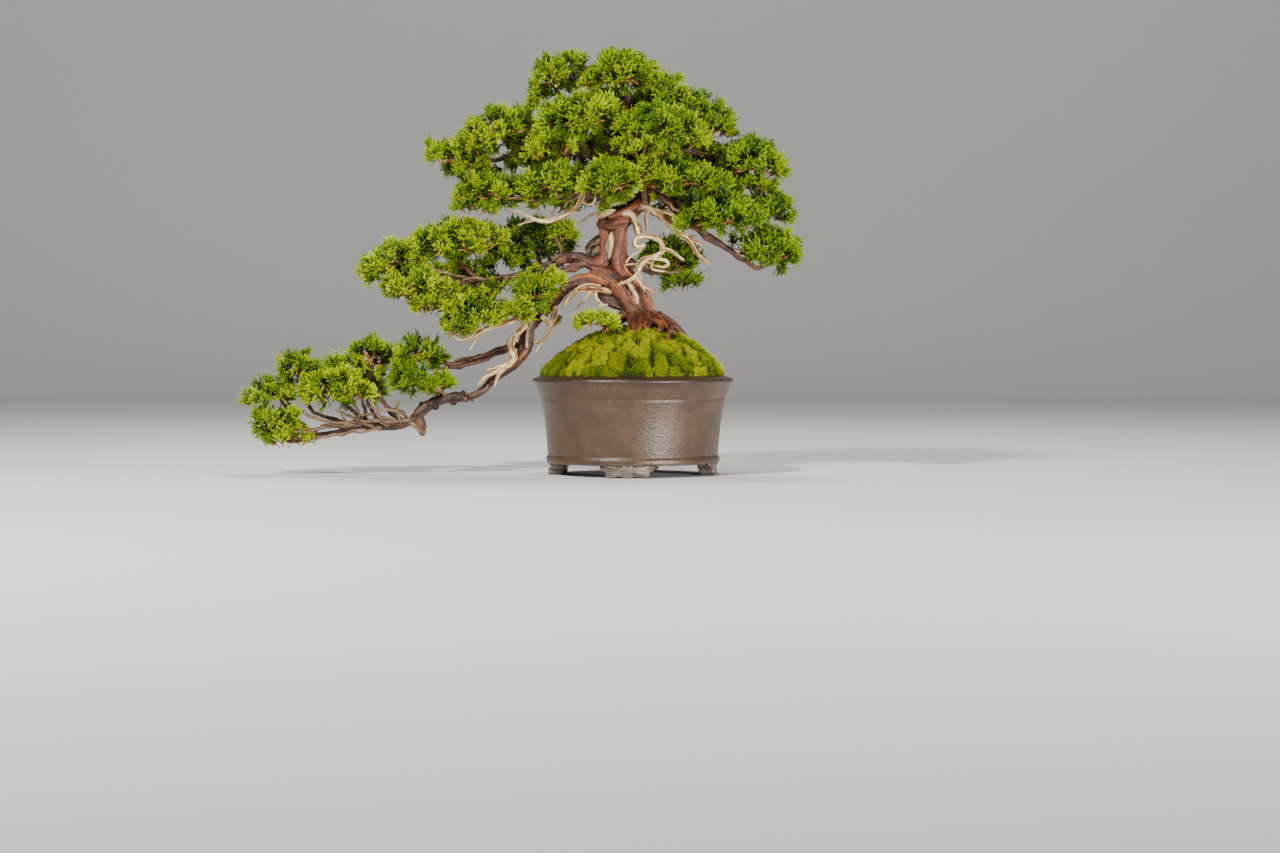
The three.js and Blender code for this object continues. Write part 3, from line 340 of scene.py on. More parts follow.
# Thin branchlets under the foliage, laid out as in LIMBS.
THIN_LIMBS = [
    [2.6, 1.8, [[-300, -12, 74], [-328, -18, 72], [-356, -20, 74], [-388, -22, 70], [-418, -22, 66]]],
    [2.2, 1.5, [[-312, -12, 70], [-336, -18, 78], [-352, -24, 82], [-376, -26, 80], [-398, -26, 88]]],
    [2.2, 1.5, [[-340, -10, 64], [-370, -14, 58], [-408, -16, 53], [-444, -14, 48], [-470, -10, 50]]],
    [2.0, 1.4, [[-300, -12, 76], [-318, -22, 86], [-340, -28, 88], [-362, -28, 96]]],
    [2.0, 1.4, [[-330, -12, 66], [-346, -20, 74], [-362, -24, 72], [-384, -26, 80]]],
    [2.4, 1.6, [[-350, -12, 66], [-376, -17, 68], [-400, -20, 65], [-428, -22, 61], [-456, -22, 57]]],
    [2.6, 1.8, [[-368, -10, 67], [-384, -22, 68], [-402, -28, 71], [-424, -30, 76], [-442, -28, 86]]],
    [2.2, 1.5, [[-362, -12, 68], [-368, -26, 74], [-369, -30, 86], [-374, -30, 97]]],
    [2.0, 1.4, [[-384, -12, 66], [-388, -24, 76], [-394, -28, 92]]],
    [2.2, 1.5, [[-330, -10, 66], [-338, -24, 76], [-346, -30, 92], [-352, -30, 106]]],
    [2.4, 1.6, [[-248, -12, 103], [-262, -22, 112], [-284, -28, 121]]],
    [2.0, 1.4, [[-308, -10, 70], [-318, -20, 84], [-314, -26, 100]]],
    [3.0, 2.0, [[-304, -10, 72], [-292, -15, 64], [-280, -14, 57]]],
    [2.0, 1.2, [[-60, -18, 400], [-66, -30, 382], [-74, -34, 371], [-84, -34, 366], [-92, -33, 357]]],
    [1.8, 1.2, [[-36, -20, 372], [-46, -28, 364], [-50, -30, 352], [-60, -32, 345], [-74, -33, 339]]],
    [2.2, 1.4, [[34, -10, 374], [48, -22, 366], [56, -26, 356], [72, -28, 350]]],
    [2.0, 1.4, [[60, -4, 360], [78, -20, 352], [104, -28, 350]]],
    [2.0, 1.3, [[12, -30, 282], [32, -18, 276], [52, 0, 272], [66, 16, 274]]],
    [2.0, 1.4, [[-60, -8, 440], [-76, -30, 446], [-92, -42, 456]]],
    [2.0, 1.4, [[-100, -6, 436], [-120, -26, 440], [-140, -34, 452]]],
    [2.0, 1.4, [[-120, -16, 372], [-140, -32, 368], [-158, -38, 374]]],
    [2.0, 1.4, [[-172, 0, 266], [-198, -22, 262], [-226, -32, 264]]],
    [2.0, 1.4, [[-206, 4, 260], [-240, -18, 268], [-270, -26, 278]]],
]
# Fine strands of the bleached pieces beside the model's own.
FINE_DEADWOOD = {
    "jin_curled": [
        [1.5, 1.0, [[24, -30, 284], [8, -30, 283], [-12, -27, 281.5]]],
        [2.0, 1.4, [[26, -29, 286], [26, -29, 277], [36, -28, 273.5], [44, -27, 272.7]]],
        [4.0, 3.0, [[-14, -16, 350], [-6, -22, 351], [2, -25, 346], [8, -26, 335]]],
    ],
    "jin_right": [
        [1.9, 1.6, [[62, -12, 347], [64, -18, 338], [67, -21, 329], [74, -21, 318]]],
    ],
    "jin_hanging": [
        [4.6, 3.4, [[-122, -20, 213], [-113, -22, 205], [-107, -22, 198]]],
        [3.6, 2.4, [[-97, -20, 213], [-102, -22, 204], [-109, -22, 197]]],
    ],
    "jin_cascade": [
        [3.6, 3.0, [[-143, -17, 201], [-157, -20, 189], [-163, -21, 178], [-163, -20, 164]]],
    ],
    "deadwood_band": [
        [3.4, 2.4, [[-44, -21, 251], [-56, -22, 254], [-70, -21, 252], [-82, -18, 242]]],
        [2.6, 4.2, [[-26, -13, 245], [-34, -17, 246], [-44, -19, 248]]],
    ],
}
# How much stouter a piece's strands look than the model's.
STOUTER = {"jin_curled": 1.14, "jin_right": 1.12, "jin_cascade": 1.2}
# How bleached a piece's wood is: 1 is fully pale, and less keeps more of its brown.
BLEACHED = {"jin_right": 0.74, "jin_hanging": 0.74, "deadwood_band": 0.82, "jin_cascade": 0.95}
# Wires: the branch, the shares of its length from and to, the turns and where they start.
WIRES = {
    "wire_upper_branch": [UPPER_BRANCH, 0.27, 0.4, 1.5, 1.2],
    "wire_cascade": [CASCADE, 0.49, 0.61, 2.5, 0.6],
}
WIRE_RADIUS = 1.5
GAP = 0.3

# Foliage clouds: the middle, the half sizes out to the tips, the slope in degrees that raises the
# right end, and how bright a green each one is: partly the leaves' own tone, partly painted light,
# brighter on the clouds at the left and low that face the key light, darker as painted shade at the
# back and right.
CLOUDS = {
    "crown_peak": [[-14, 0, 539], [50, 54, 37], -8, 0.5],
    "crown_peak_left": [[-107, 8, 536], [55, 46, 32], 38, 0.6],
    "crown_peak_right": [[72, 22, 497], [84, 58, 31], -20, 0.4],
    "crown_front_left": [[-70, -46, 477], [72, 50, 40], 12, 0.7],
    "crown_front_middle": [[42, -52, 462], [66, 46, 36], -6, 0.45],
    "crown_left_high": [[-184, -12, 461], [66, 54, 35], 20, 0.7],
    "crown_left_tip": [[-232, 14, 427], [54, 48, 29], -18, 0.6],
    "crown_left_low": [[-186, -24, 380], [62, 48, 26], -4, 0.5],
    "crown_left_inner": [[-110, -36, 392], [54, 44, 34], 8, 0.55],
    "crown_low_front": [[-30, -58, 392], [42, 38, 34], 0, 0.7],
    "crown_low_right": [[64, -42, 397], [68, 46, 30], -4, 0.45],
    "crown_right_high": [[160, 5, 422], [56, 54, 35], -8, 0.4],
    "crown_right_low": [[120, -28, 348], [62, 46, 34], 0, 0.35],
    "crown_right_tip": [[184, 20, 360], [43, 42, 30], -10, 0.35],
    "crown_right_fall": [[190, -10, 304], [45, 44, 38], 0, 0.35],
    "crown_back_left": [[-46, 82, 492], [70, 48, 40], 10, 0.4],
    "crown_back_right": [[44, 86, 488], [68, 50, 38], -14, 0.35],
    "crown_back_far_left": [[-122, 80, 442], [70, 50, 36], 10, 0.4],
    "crown_back_middle": [[22, 110, 434], [70, 48, 36], 0, 0.35],
    "crown_back_far_right": [[98, 84, 424], [66, 48, 34], -6, 0.35],
    "crown_back_low_left": [[-80, 90, 386], [62, 46, 28], 0, 0.35],
    "crown_back_low_right": [[110, 84, 362], [58, 46, 32], 0, 0.3],
    "low_back_right": [[52, 92, 294], [46, 46, 38], 0, 0.3],
    "middle_tip": [[-326, -5, 288], [51, 46, 31], 22, 0.9],
    "middle_high": [[-250, 12, 312], [68, 52, 37], 8, 0.85],
    "middle_back": [[-140, 60, 316], [64, 44, 37], 0, 0.35],
    "middle_low": [[-294, -38, 252], [52, 42, 31], -4, 0.85],
    "middle_under": [[-216, -28, 219], [54, 42, 35], 0, 0.75],
    "middle_front": [[-130, -58, 242], [33, 32, 25], 30, 0.8],
    "middle_back_low": [[-236, 62, 262], [60, 44, 31], 0, 0.4],
    "middle_sprig": [[-92, -8, 326], [27, 16, 20], 0, 0.45],
    "base_sprig": [[-50, -46, 209], [37, 26, 17], 3, 0.95],
    "low_tip_high": [[-482, 0, 110], [51, 38, 21], 5, 0.9],
    "low_tip": [[-484, -14, 71], [40, 36, 31], 10, 0.9],
    "low_crest_tip": [[-454, 14, 144], [33, 34, 24], 0, 0.8],
    "low_front": [[-399, -26, 116], [54, 41, 31], 6, 0.9],
    "low_crest": [[-366, 18, 156], [56, 42, 30], 8, 0.75],
    "low_inner_high": [[-288, 10, 162], [43, 38, 27], 0, 0.5],
    "low_inner": [[-294, -20, 126], [39, 29, 18], -4, 0.5],
    "low_back": [[-374, 54, 116], [48, 36, 27], 0, 0.5],
}

# Smaller swells of a cloud that fill its outline out, in the same form.
FILLS = {
    "crown_peak": [[[46, 6, 530], [34, 38, 20], -24, 0.45], [[-62, 4, 532], [20, 30, 18], 0, 0.5]],
    "crown_right_fall": [[[138, -12, 318], [34, 34, 20], -35, 0.35]],
    "crown_right_high": [[[164, 0, 394], [42, 40, 14], 0, 0.35]],
    "crown_front_left": [[[-110, -46, 440], [44, 34, 24], 8, 0.6]],
    "crown_front_middle": [[[16, -66, 436], [44, 30, 24], 0, 0.5]],
    "crown_low_front": [[[14, -50, 408], [40, 34, 22], 0, 0.5]],
    "crown_back_left": [[[-92, 34, 440], [74, 34, 34], 0, 0.12]],
    "crown_back_middle": [[[36, 40, 444], [84, 34, 42], 0, 0.12]],
    "crown_back_far_right": [[[118, 38, 402], [62, 34, 34], 0, 0.12]],
    "crown_back_low_left": [[[-84, 38, 400], [84, 34, 22], 0, 0.1]],
    "crown_left_tip": [[[-214, -20, 396], [34, 36, 18], -30, 0.6]],
    "crown_left_low": [[[-214, -26, 368], [34, 28, 16], 0, 0.5]],
    "crown_left_inner": [[[-112, -4, 370], [34, 22, 15], 0, 0.5]],
    "middle_low": [[[-276, -42, 230], [32, 28, 17], 0, 0.8]],
    "middle_under": [[[-232, -36, 202], [26, 24, 15], 0, 0.75]],
    "middle_back": [[[-178, 40, 290], [44, 36, 22], 0, 0.2]],
    "middle_front": [
        [[-108, -54, 261], [22, 24, 17], 20, 0.85], [[-152, -54, 222], [26, 24, 17], -10, 0.75],
    ],
    "middle_high": [[[-206, 4, 330], [40, 36, 20], -12, 0.7]],
    "low_inner": [[[-262, -18, 128], [26, 28, 14], 0, 0.5]],
    "low_tip": [[[-462, -18, 56], [36, 30, 14], 0, 0.8]],
    "low_back_right": [[[66, 80, 268], [34, 36, 16], 0, 0.3]],
    "low_crest_tip": [[[-424, -12, 126], [30, 28, 20], 0, 0.75]],
    "low_inner_high": [[[-322, -2, 142], [30, 30, 22], 0, 0.6]],
}
SPRIG_SPACING = 12
SPRIG_LOWEST = 200  # only branches that end higher bear sprigs
# Stretches kept free of sprigs, so that the deadwood and the trunk show: x from and to, z from
# and to.
SPRIG_FREE = [
    (-180, -45, 325, 392), (-64, 112, 180, 368), (-125, -50, 262, 330), (96, 168, 268, 332),
]

# The pot's and the mound's sizes, close to the model's.
POT_OUTSIDE = [
    [18, 16], [115, 16], [117, 18], [117, 23.5], [114.6, 26.5], [119.5, 76], [124.5, 101],
    [131, 120], [136, 126], [135, 129.5],
]
POT_INSIDE = [[122, 134], [118.5, 131], [112.5, 100], [105.5, 38], [98, 27]]
FOOT_HALF = [[24, 0], [29, 3.5], [28, 9], [33, 8.5], [36.5, 12], [37, 17]]
FOOT_DEPTH = 14
FOOT_RADIUS = 101
FOOT_INWARD = 8  # how far the feet reach in behind their carved faces
FOOT_LOBE = 25  # from one carved lobe to the next
FOOT_TURN = math.radians(-3.6)
MOUND_X = 25  # the mound's peak, right of the pot's middle
MOUND_TOP = 201
MOUND_RIM = 143
MOUND_REACH = 118  # out to the pot's lip
MOUND_ROUND = 2.25  # the power of its dome
MOUND_DIP = 6.0  # how far the moss has settled on the right side
MOSS_LIP_DROP = 7.0
MOSS_THICK = 9
MOSS_EDGES = [-158, -97, -38, 28, 117, 202]  # turns in degrees
MOSS_CRACK = 1.6
TRUNK_FOOT = 22  # how far right of the pot's middle the trunk stands
TRUNK_CLEAR = 26  # round the trunk, where the moss lies lowest
TRUNK_NEAR = 34  # the way from there to the full height
TRUNK_SINK = 4.5
LINE_HEIGHT = 103.0  # the incised line round the pot
LINE_WIDTH = 0.8
LINE_DEPTHS = (0.7, 0.42)  # in the wall's curve, and again in its finer rows

# ---- How finely each piece is dressed -----------------------------------------------------

# Millimetres and shares, unless a line says otherwise.
VOXEL = 1.25
WOOD_SIDES = 16
LIMB_SIDES = 12
WIRE_SIDES = 12
TWIG_SIDES = 5
DEAD_SIDES = 14
POT_SIDES = 180
BLOCK = 4000  # points compared at a time
CORE_STRANDS = 4  # veins wound round one another behind the front ones
CORE_SHARE = 0.5  # a core vein's radius as a share of the trunk's
CORE_OUT = 0.40  # and how far its middle lies from the trunk's
CORE_BACK = 4.0  # the core sits this far behind the trunk's middle
CORE_TWIST = 0.0125  # radians a millimetre
CORE_START = 0.9  # radians, where the first core vein starts
PAIR_SHARE = 0.74  # the same four for the two veins of each left branch
PAIR_OUT = 0.34
PAIR_TWIST = 0.032
PAIR_STARTS = (0.4, 2.0)
LIMB_STEP = 1.6  # between the rings of each kind of piece
VEIN_STEP = 2.0
CORE_STEP = 2.5
WIRE_STEP = 0.8
TWIG_STEP = 4.2
DEAD_STEP = 1.1
OLD = 0.8  # the age of the branches' bark, from young 0 to flaky 1
CREVICE = 3.4  # how far from a neighbouring vein the bark is free of shade
ORANGE_FADE = 1.6  # half widths to where an orange edge has faded out
THIN_BARE = 0.17  # how much of the thin branchlets' wood shows
DEAD_TAPER = 3.0  # tip radii over which a strand is drawn out
DEAD_TIP = 0.35  # and what is left of its radius at the tip
FAN_KINDS = 16
INNER_KINDS = 6  # plainer fans for the clouds' insides
TUFT_SPACING = 26  # between the middles of neighbouring tufts
TUFTS_AT_LEAST = 14
GOLDEN_TURN = 2.39996  # radians from one tuft to the next, which spreads them evenly
UNDER = -0.55  # how far round to the underside the tufts go
TUFTS_LEFT_OUT = 0.07
SMALL_CLOUD = 85  # a cloud whose half sizes add up to less is open to the light all through
FAN_LENGTHS = [12.0, 11.0, 10.5, 10.0]
FAN_RADII = [0.95, 0.92, 0.88, 0.86]
FAN_FORKS = [4.3, 2.9, 2.1]
FAN_TALL = 39.0  # from a fan's foot to its highest tips
FAN_UNEVEN = (0.75, 1.25)  # a shoot's length, as a share of its level's
FORK_TILTS = (0.42, 0.76)  # radians, of the outermost forks
FORK_RISE = 0.10  # how much each shoot turns up
SPURS = 3  # little shoots along each outer shoot
SPUR_LENGTH = 4.6
SPUR_WIDTH = 1.15
SPUR_TILT = 0.55  # radians, to either side in turn
SPUR_FIRST, SPUR_EVERY = 0.28, 0.27  # places along the shoot
MAP_TOP = 0.96  # the map's value at the outermost tips
TUFT_RISE = 0.38  # how much tufts turn up
TUFT_SCALES = (0.82, 1.06)
TUFT_OUT = (0.88, 1.02)  # how far out the tufts' tips lie, as shares of the outline
TUFT_BURIED = 0.8  # a tuft that lies deeper in a neighbouring cloud is left out
UNDER_SCALE = 0.72  # of the tufts on the underside
FLAT_CLOUD = 33  # a cloud whose least half size is less has smaller tufts, down to SMALLEST
SMALLEST = 0.76
INNER_SHARE = 0.8  # fans inside a cloud for each tuft on it
INNER_OUT = (0.05, 0.4)
INNER_SCALES = (0.6, 0.8)
LIT_FROM = 0.45  # how far out in a cloud the painted shade of its inside starts to lift
LIT_OVER = 0.45  # and how much further out the leaves are fully lit, as painted light
SPRIG_SCALES = (0.42, 0.78)
TWIG_DROP = 3  # how far below its branch a tuft may lie and still have a twig
TWIG_GROUP = 4  # tufts that share a fork
FORK_PLACE = 0.45  # how far from the branch to the tufts the fork lies
CUSHION = 26.0  # between the middles of neighbouring cushions
CUSHION_RISE = 5.4
CUSHION_EDGE = 6.5
CUSHION_BEND = 8.0
MOSS_INNER = 0.12  # shares of the way from the peak to the pot's lip
MOSS_OUTER = 1.045
MOSS_SINK = 3.0
MOSS_GRID = (84, 110)
TUFT_AREA = 3.6  # square millimetres of moss for each tuft of blades
TUFT_BLADES = 6
BLADE_WIDTH = 0.55
BLADE_LENGTHS = (2.0, 3.9)
HAIR_WIDTH = 0.2
HAIR_LENGTHS = (5.5, 9.5)
LIP_FROM = 0.96  # from here out the lip has more tufts
PATCH_WAVE = 9  # degrees that a patch's edges sway
HAIRS = 70  # long fine hairs on each patch

# ---- Light --------------------------------------------------------------------------------

# Disk lights, in metres: place, width, power and colour.
LIGHTS = {
    "key": [(-1.25, -2.0, 2.0), 0.36, 112, (1.0, 0.98, 0.94)],
    "fill": [(1.75, -2.05, 0.20), 0.36, 74, (1.0, 0.98, 0.96)],
    "top": [(0.3, 0.7, 2.4), 0.8, 36, (1, 1, 1)],
}
LIT_POINT = (0.0, 0.0, 0.3)
SKY_STRENGTH = 0.24
FLOOR_SIZE, FLOOR_BEND, FLOOR_HEIGHT = 9.0, 1.6, 6.0
FLOOR_BACK = 0.45  # where it starts to rise, as a share of its size
FLOOR_STEPS = 24
FLOOR_COLOUR = (0.78, 0.775, 0.76, 1)

# ---- Camera: the photograph's, at the photograph's distance -------------------------------

FRAME_WIDTH_PX = 1280
FOCAL_PX = 2650
SENSOR = 36.0
CAMERA_BACK = 3577.5  # from the pot's axis
CAMERA_HEIGHT = 188
CAMERA_RIGHT = 9.5
CAMERA_PITCH = math.radians(1.98)


def place(points):
    """Millimetres about the pot's axis to metres in the row frame."""
    return np.asarray(points, float) * MM + AXIS


# ---- Numbers: noise, curves, frames -------------------------------------------------------


def lattice(ix, iy, iz, seed):
    """A repeatable value from -1 to 1 at each whole-number point."""
    h = (ix * 374761393 + iy * 668265263 + iz * 1274126177 + seed * 144665) & 0xFFFFFFFF
    h = ((h ^ (h >> 13)) * 1274126177) & 0xFFFFFFFF
    return ((h ^ (h >> 16)) & 0xFFFFFF) / 0x7FFFFF - 1


def noise(points, seed=0):
    """Smooth value noise from -1 to 1."""
    points = np.asarray(points, float)
    cell = np.floor(points).astype(np.int64)
    f = points - cell
    f = f * f * (3 - 2 * f)
    total = np.zeros(len(points))
    for dx in (0, 1):
        for dy in (0, 1):
            for dz in (0, 1):
                weight = np.ones(len(points))
                for axis, step in enumerate((dx, dy, dz)):
                    weight *= f[:, axis] if step else 1 - f[:, axis]
                corner = lattice(cell[:, 0] + dx, cell[:, 1] + dy, cell[:, 2] + dz, seed)
                total += weight * corner
    return total


def fractal(points, octaves, seed):
    """Noise of several sizes, each half as large and half as strong as the one before."""
    points = np.asarray(points, float)
    total = np.zeros(len(points))
    for octave in range(octaves):
        total += noise(points * 2**octave, seed + octave) / 2**octave
    return total


def around(sides):
    """Even turns round a circle."""
    return np.linspace(0, 2 * math.pi, sides, endpoint=False)


def spokes(side, other, turn):
    """Directions at turns between two side directions."""
    return side * np.cos(turn)[..., None] + other * np.sin(turn)[..., None]


def drift(along, scale, row):
    """Places for noise that varies along one numbered line."""
    return np.stack([along / scale, along * 0 + row, along * 0], axis=1)


def unit(vectors):
    return vectors / np.maximum(np.linalg.norm(vectors, axis=-1, keepdims=True), 1e-9)


def smooth_curve(route, per_span=24):
    """Points of a centripetal Catmull-Rom curve through a route, and where each lies on it."""
    p = np.asarray(route, float)
    p = np.vstack([2 * p[0] - p[1], p, 2 * p[-1] - p[-2]])
    knots = np.concatenate([[0], np.cumsum(np.linalg.norm(np.diff(p, axis=0), axis=1) ** 0.5)])
    points, places = [], []
    for i in range(1, len(p) - 2):
        t = np.linspace(knots[i], knots[i + 1], per_span, endpoint=False)[:, None]
        k0, k1, k2, k3 = knots[i - 1:i + 3]
        a1 = (k1 - t) / (k1 - k0) * p[i - 1] + (t - k0) / (k1 - k0) * p[i]
        a2 = (k2 - t) / (k2 - k1) * p[i] + (t - k1) / (k2 - k1) * p[i + 1]
        a3 = (k3 - t) / (k3 - k2) * p[i + 1] + (t - k2) / (k3 - k2) * p[i + 2]
        b1 = (k2 - t) / (k2 - k0) * a1 + (t - k0) / (k2 - k0) * a2
        b2 = (k3 - t) / (k3 - k1) * a2 + (t - k1) / (k3 - k1) * a3
        points.append((k2 - t) / (k2 - k1) * b1 + (t - k1) / (k2 - k1) * b2)
        places.append(i - 1 + np.arange(per_span) / per_span)
    points.append(p[-2:-1])
    places.append([len(p) - 3])
    return np.vstack(points), np.concatenate(places)


class Limb:
    """A limb's centre line at even steps: centre, tangent, two side directions, radius, length."""

    def __init__(self, route, radii, step):
        points, places = smooth_curve(route)
        lengths = np.concatenate([[0], np.cumsum(np.linalg.norm(np.diff(points, axis=0), axis=1))])
        count = max(3, int(round(lengths[-1] / step)) + 1)
        self.along = np.linspace(0, lengths[-1], count)
        self.centre = np.stack(
            [np.interp(self.along, lengths, points[:, i]) for i in range(3)], axis=1
        )
        if len(radii) == 2:
            self.radius = np.linspace(radii[0], radii[1], count)
        else:
            at = np.interp(self.along, lengths, places)
            self.radius = np.interp(at, np.arange(len(radii)), radii)
        self.tangent = unit(np.gradient(self.centre, axis=0))
        side = unit(np.cross(self.tangent[0], [0.0, 1.0, 0.12]))
        sides = []
        for tangent in self.tangent:
            side = unit(side - tangent * (side @ tangent))
            sides.append(side)
        self.side = np.array(sides)
        self.other = np.cross(self.tangent, self.side)


def ring_faces(rings, sides):
    """Quads between rings, and a fan to a middle point at each end, which follow the rings."""
    a = np.arange(rings - 1)[:, None] * sides + np.arange(sides)[None]
    b = np.arange(rings - 1)[:, None] * sides + (np.arange(sides)[None] + 1) % sides
    quads = np.stack([a, b, b + sides, a + sides], axis=-1).reshape(-1, 4)
    k = np.arange(sides)
    start, end = rings * sides, rings * sides + 1
    last = (rings - 1) * sides
    low = np.stack([np.full(sides, start), (k + 1) % sides, k], axis=1)
    high = np.stack([np.full(sides, end), last + k, last + (k + 1) % sides], axis=1)
    return quads, np.vstack([low, high])


def closed_tube(limb, radius, sides):
    """Points, quads and triangles of a limb's closed tube, which bulges a little at its ends;
    radius is one value a ring, or one a point."""
    radius = np.asarray(radius, float).reshape(len(limb.centre), -1)
    ways = spokes(limb.side[:, None], limb.other[:, None], around(sides)[None])
    rings = limb.centre[:, None] + ways * radius[..., None]
    mean = radius.mean(axis=1)
    ends = np.array([
        limb.centre[0] - limb.tangent[0] * mean[0] * 0.4,
        limb.centre[-1] + limb.tangent[-1] * mean[-1] * 0.7,
    ])
    quads, triangles = ring_faces(len(limb.centre), sides)
    return np.vstack([rings.reshape(-1, 3), ends]), quads, triangles


# ---- Meshes -------------------------------------------------------------------------------


def add_object(name, data):
    obj = bpy.data.objects.new(name, data)
    bpy.context.scene.collection.objects.link(obj)
    return obj


def stack(parts, faces=(1, 2)):
    """Joins parts of three arrays, points first; faces says which of them number the points."""
    firsts = np.cumsum([0] + [len(part[0]) for part in parts])
    return [
        np.vstack([part[k] + first * (k in faces) for part, first in zip(parts, firsts)])
        for k in range(3)
    ]


def make_mesh(name, points, faces, smooth=True):
    """A mesh object from points in the row frame and arrays of faces, one array a face size."""
    mesh = bpy.data.meshes.new(name)
    corners = np.concatenate([np.asarray(f, np.int32).ravel() for f in faces])
    sizes = np.concatenate([np.full(len(f), np.shape(f)[1]) for f in faces])
    starts = np.concatenate([[0], np.cumsum(sizes)[:-1]]).astype(np.int32)
    mesh.vertices.add(len(points))
    mesh.vertices.foreach_set("co", np.asarray(points, np.float32).ravel())
    mesh.loops.add(len(corners))
    mesh.loops.foreach_set("vertex_index", corners)
    mesh.polygons.add(len(sizes))
    mesh.polygons.foreach_set("loop_start", starts)
    mesh.update(calc_edges=True)
    mesh.validate()
    mesh.polygons.foreach_set("use_smooth", np.full(len(mesh.polygons), smooth))
    return add_object(name, mesh)


def set_layers(obj, **layers):
    """Layers for the materials: numbers, or vectors where an array has columns."""
    for name, values in layers.items():
        values = np.asarray(values, np.float32)
        kind, key = ("FLOAT", "value") if values.ndim == 1 else ("FLOAT_VECTOR", "vector")
        obj.data.attributes.new(name, kind, "POINT").data.foreach_set(key, values.ravel())


def set_map(obj, places):
    """The piece's own map, from one place a point."""
    layer = obj.data.uv_layers.new(name="OFBake")
    corners = np.empty(len(obj.data.loops), np.int32)
    obj.data.loops.foreach_get("vertex_index", corners)
    layer.data.foreach_set("uv", np.asarray(places, np.float32)[corners].ravel())


def read_points(obj, key="co"):
    """Each point's place, or its normal."""
    values = np.empty(len(obj.data.vertices) * 3, np.float32)
    obj.data.vertices.foreach_get(key, values)
    return values.reshape(-1, 3).astype(float)


def push_points(obj, push):
    """Moves each point along its normal by so many millimetres."""
    points = read_points(obj) + read_points(obj, "normal") * push[:, None] * MM
    obj.data.vertices.foreach_set("co", points.astype(np.float32).ravel())
    obj.data.update()


def finish_piece(obj, material, node):
    obj.data.materials.append(material)
    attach(obj, "root")
    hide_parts(node)


# ---- Materials ----------------------------------------------------------------------------


class Shader:
    """A short way to write a node material."""

    def __init__(self, name, roughness=0.6, specular=0.4):
        self.material = bpy.data.materials.new(name)
        self.material.use_nodes = True
        self.nodes = self.material.node_tree.nodes
        self.links = self.material.node_tree.links
        self.surface = self.nodes["Principled BSDF"]
        self.surface.inputs["Roughness"].default_value = roughness
        self.surface.inputs["Specular IOR Level"].default_value = specular

    def node(self, kind, inputs=None, **settings):
        made = self.nodes.new(kind)
        for key, value in settings.items():
            setattr(made, key, value)
        for key, value in (inputs or {}).items():
            if isinstance(value, bpy.types.NodeSocket):
                self.links.new(value, made.inputs[key])
            else:
                made.inputs[key].default_value = value
        return made

    def attribute(self, name, output="Fac"):
        return self.node("ShaderNodeAttribute", attribute_name=name).outputs[output]

    def position(self):
        return self.node("ShaderNodeTexCoord").outputs["Object"]

    def noise(self, vector, scale, detail=3.0, roughness=0.55, distortion=0.0):
        inputs = {
            "Vector": vector, "Scale": scale, "Detail": detail, "Roughness": roughness,
            "Distortion": distortion,
        }
        return self.node("ShaderNodeTexNoise", inputs).outputs["Fac"]

    def math(self, operation, a, b):
        return self.node("ShaderNodeMath", {0: a, 1: b}, operation=operation).outputs[0]

    def map_places(self):
        """The piece's own map: its first number is the tint, its second runs from base to tip."""
        at = self.node("ShaderNodeUVMap", uv_map="OFBake").outputs["UV"]
        parts = self.node("ShaderNodeSeparateXYZ", {"Vector": at})
        return parts.outputs["X"], parts.outputs["Y"]

    def ramp(self, value, stops):
        """stops: (place, colour) pairs; a single number is a grey."""
        made = self.node("ShaderNodeValToRGB", {"Fac": value})
        elements = made.color_ramp.elements
        while len(elements) < len(stops):
            elements.new(0.5)
        for element, (at, colour) in zip(elements, stops):
            element.position = at
            element.color = (colour,) * 3 + (1,) if isinstance(colour, float) else (*colour, 1)
        return made.outputs["Color"]

    def mix(self, share, a, b, mode="MIX"):
        made = self.node("ShaderNodeMix", data_type="RGBA", blend_type=mode)
        for index, value in ((0, share), (6, a), (7, b)):
            if isinstance(value, bpy.types.NodeSocket):
                self.links.new(value, made.inputs[index])
            elif index == 0:
                made.inputs[index].default_value = value
            else:
                made.inputs[index].default_value = (*value, 1)
        return made.outputs[2]

    def colour(self, value):
        self.links.new(value, self.surface.inputs["Base Color"])

    def roughness(self, value):
        self.links.new(value, self.surface.inputs["Roughness"])

    def bump(self, height, distance, strength):
        inputs = {"Height": height, "Distance": distance, "Strength": strength}
        made = self.node("ShaderNodeBump", inputs)
        self.links.new(made.outputs["Normal"], self.surface.inputs["Normal"])


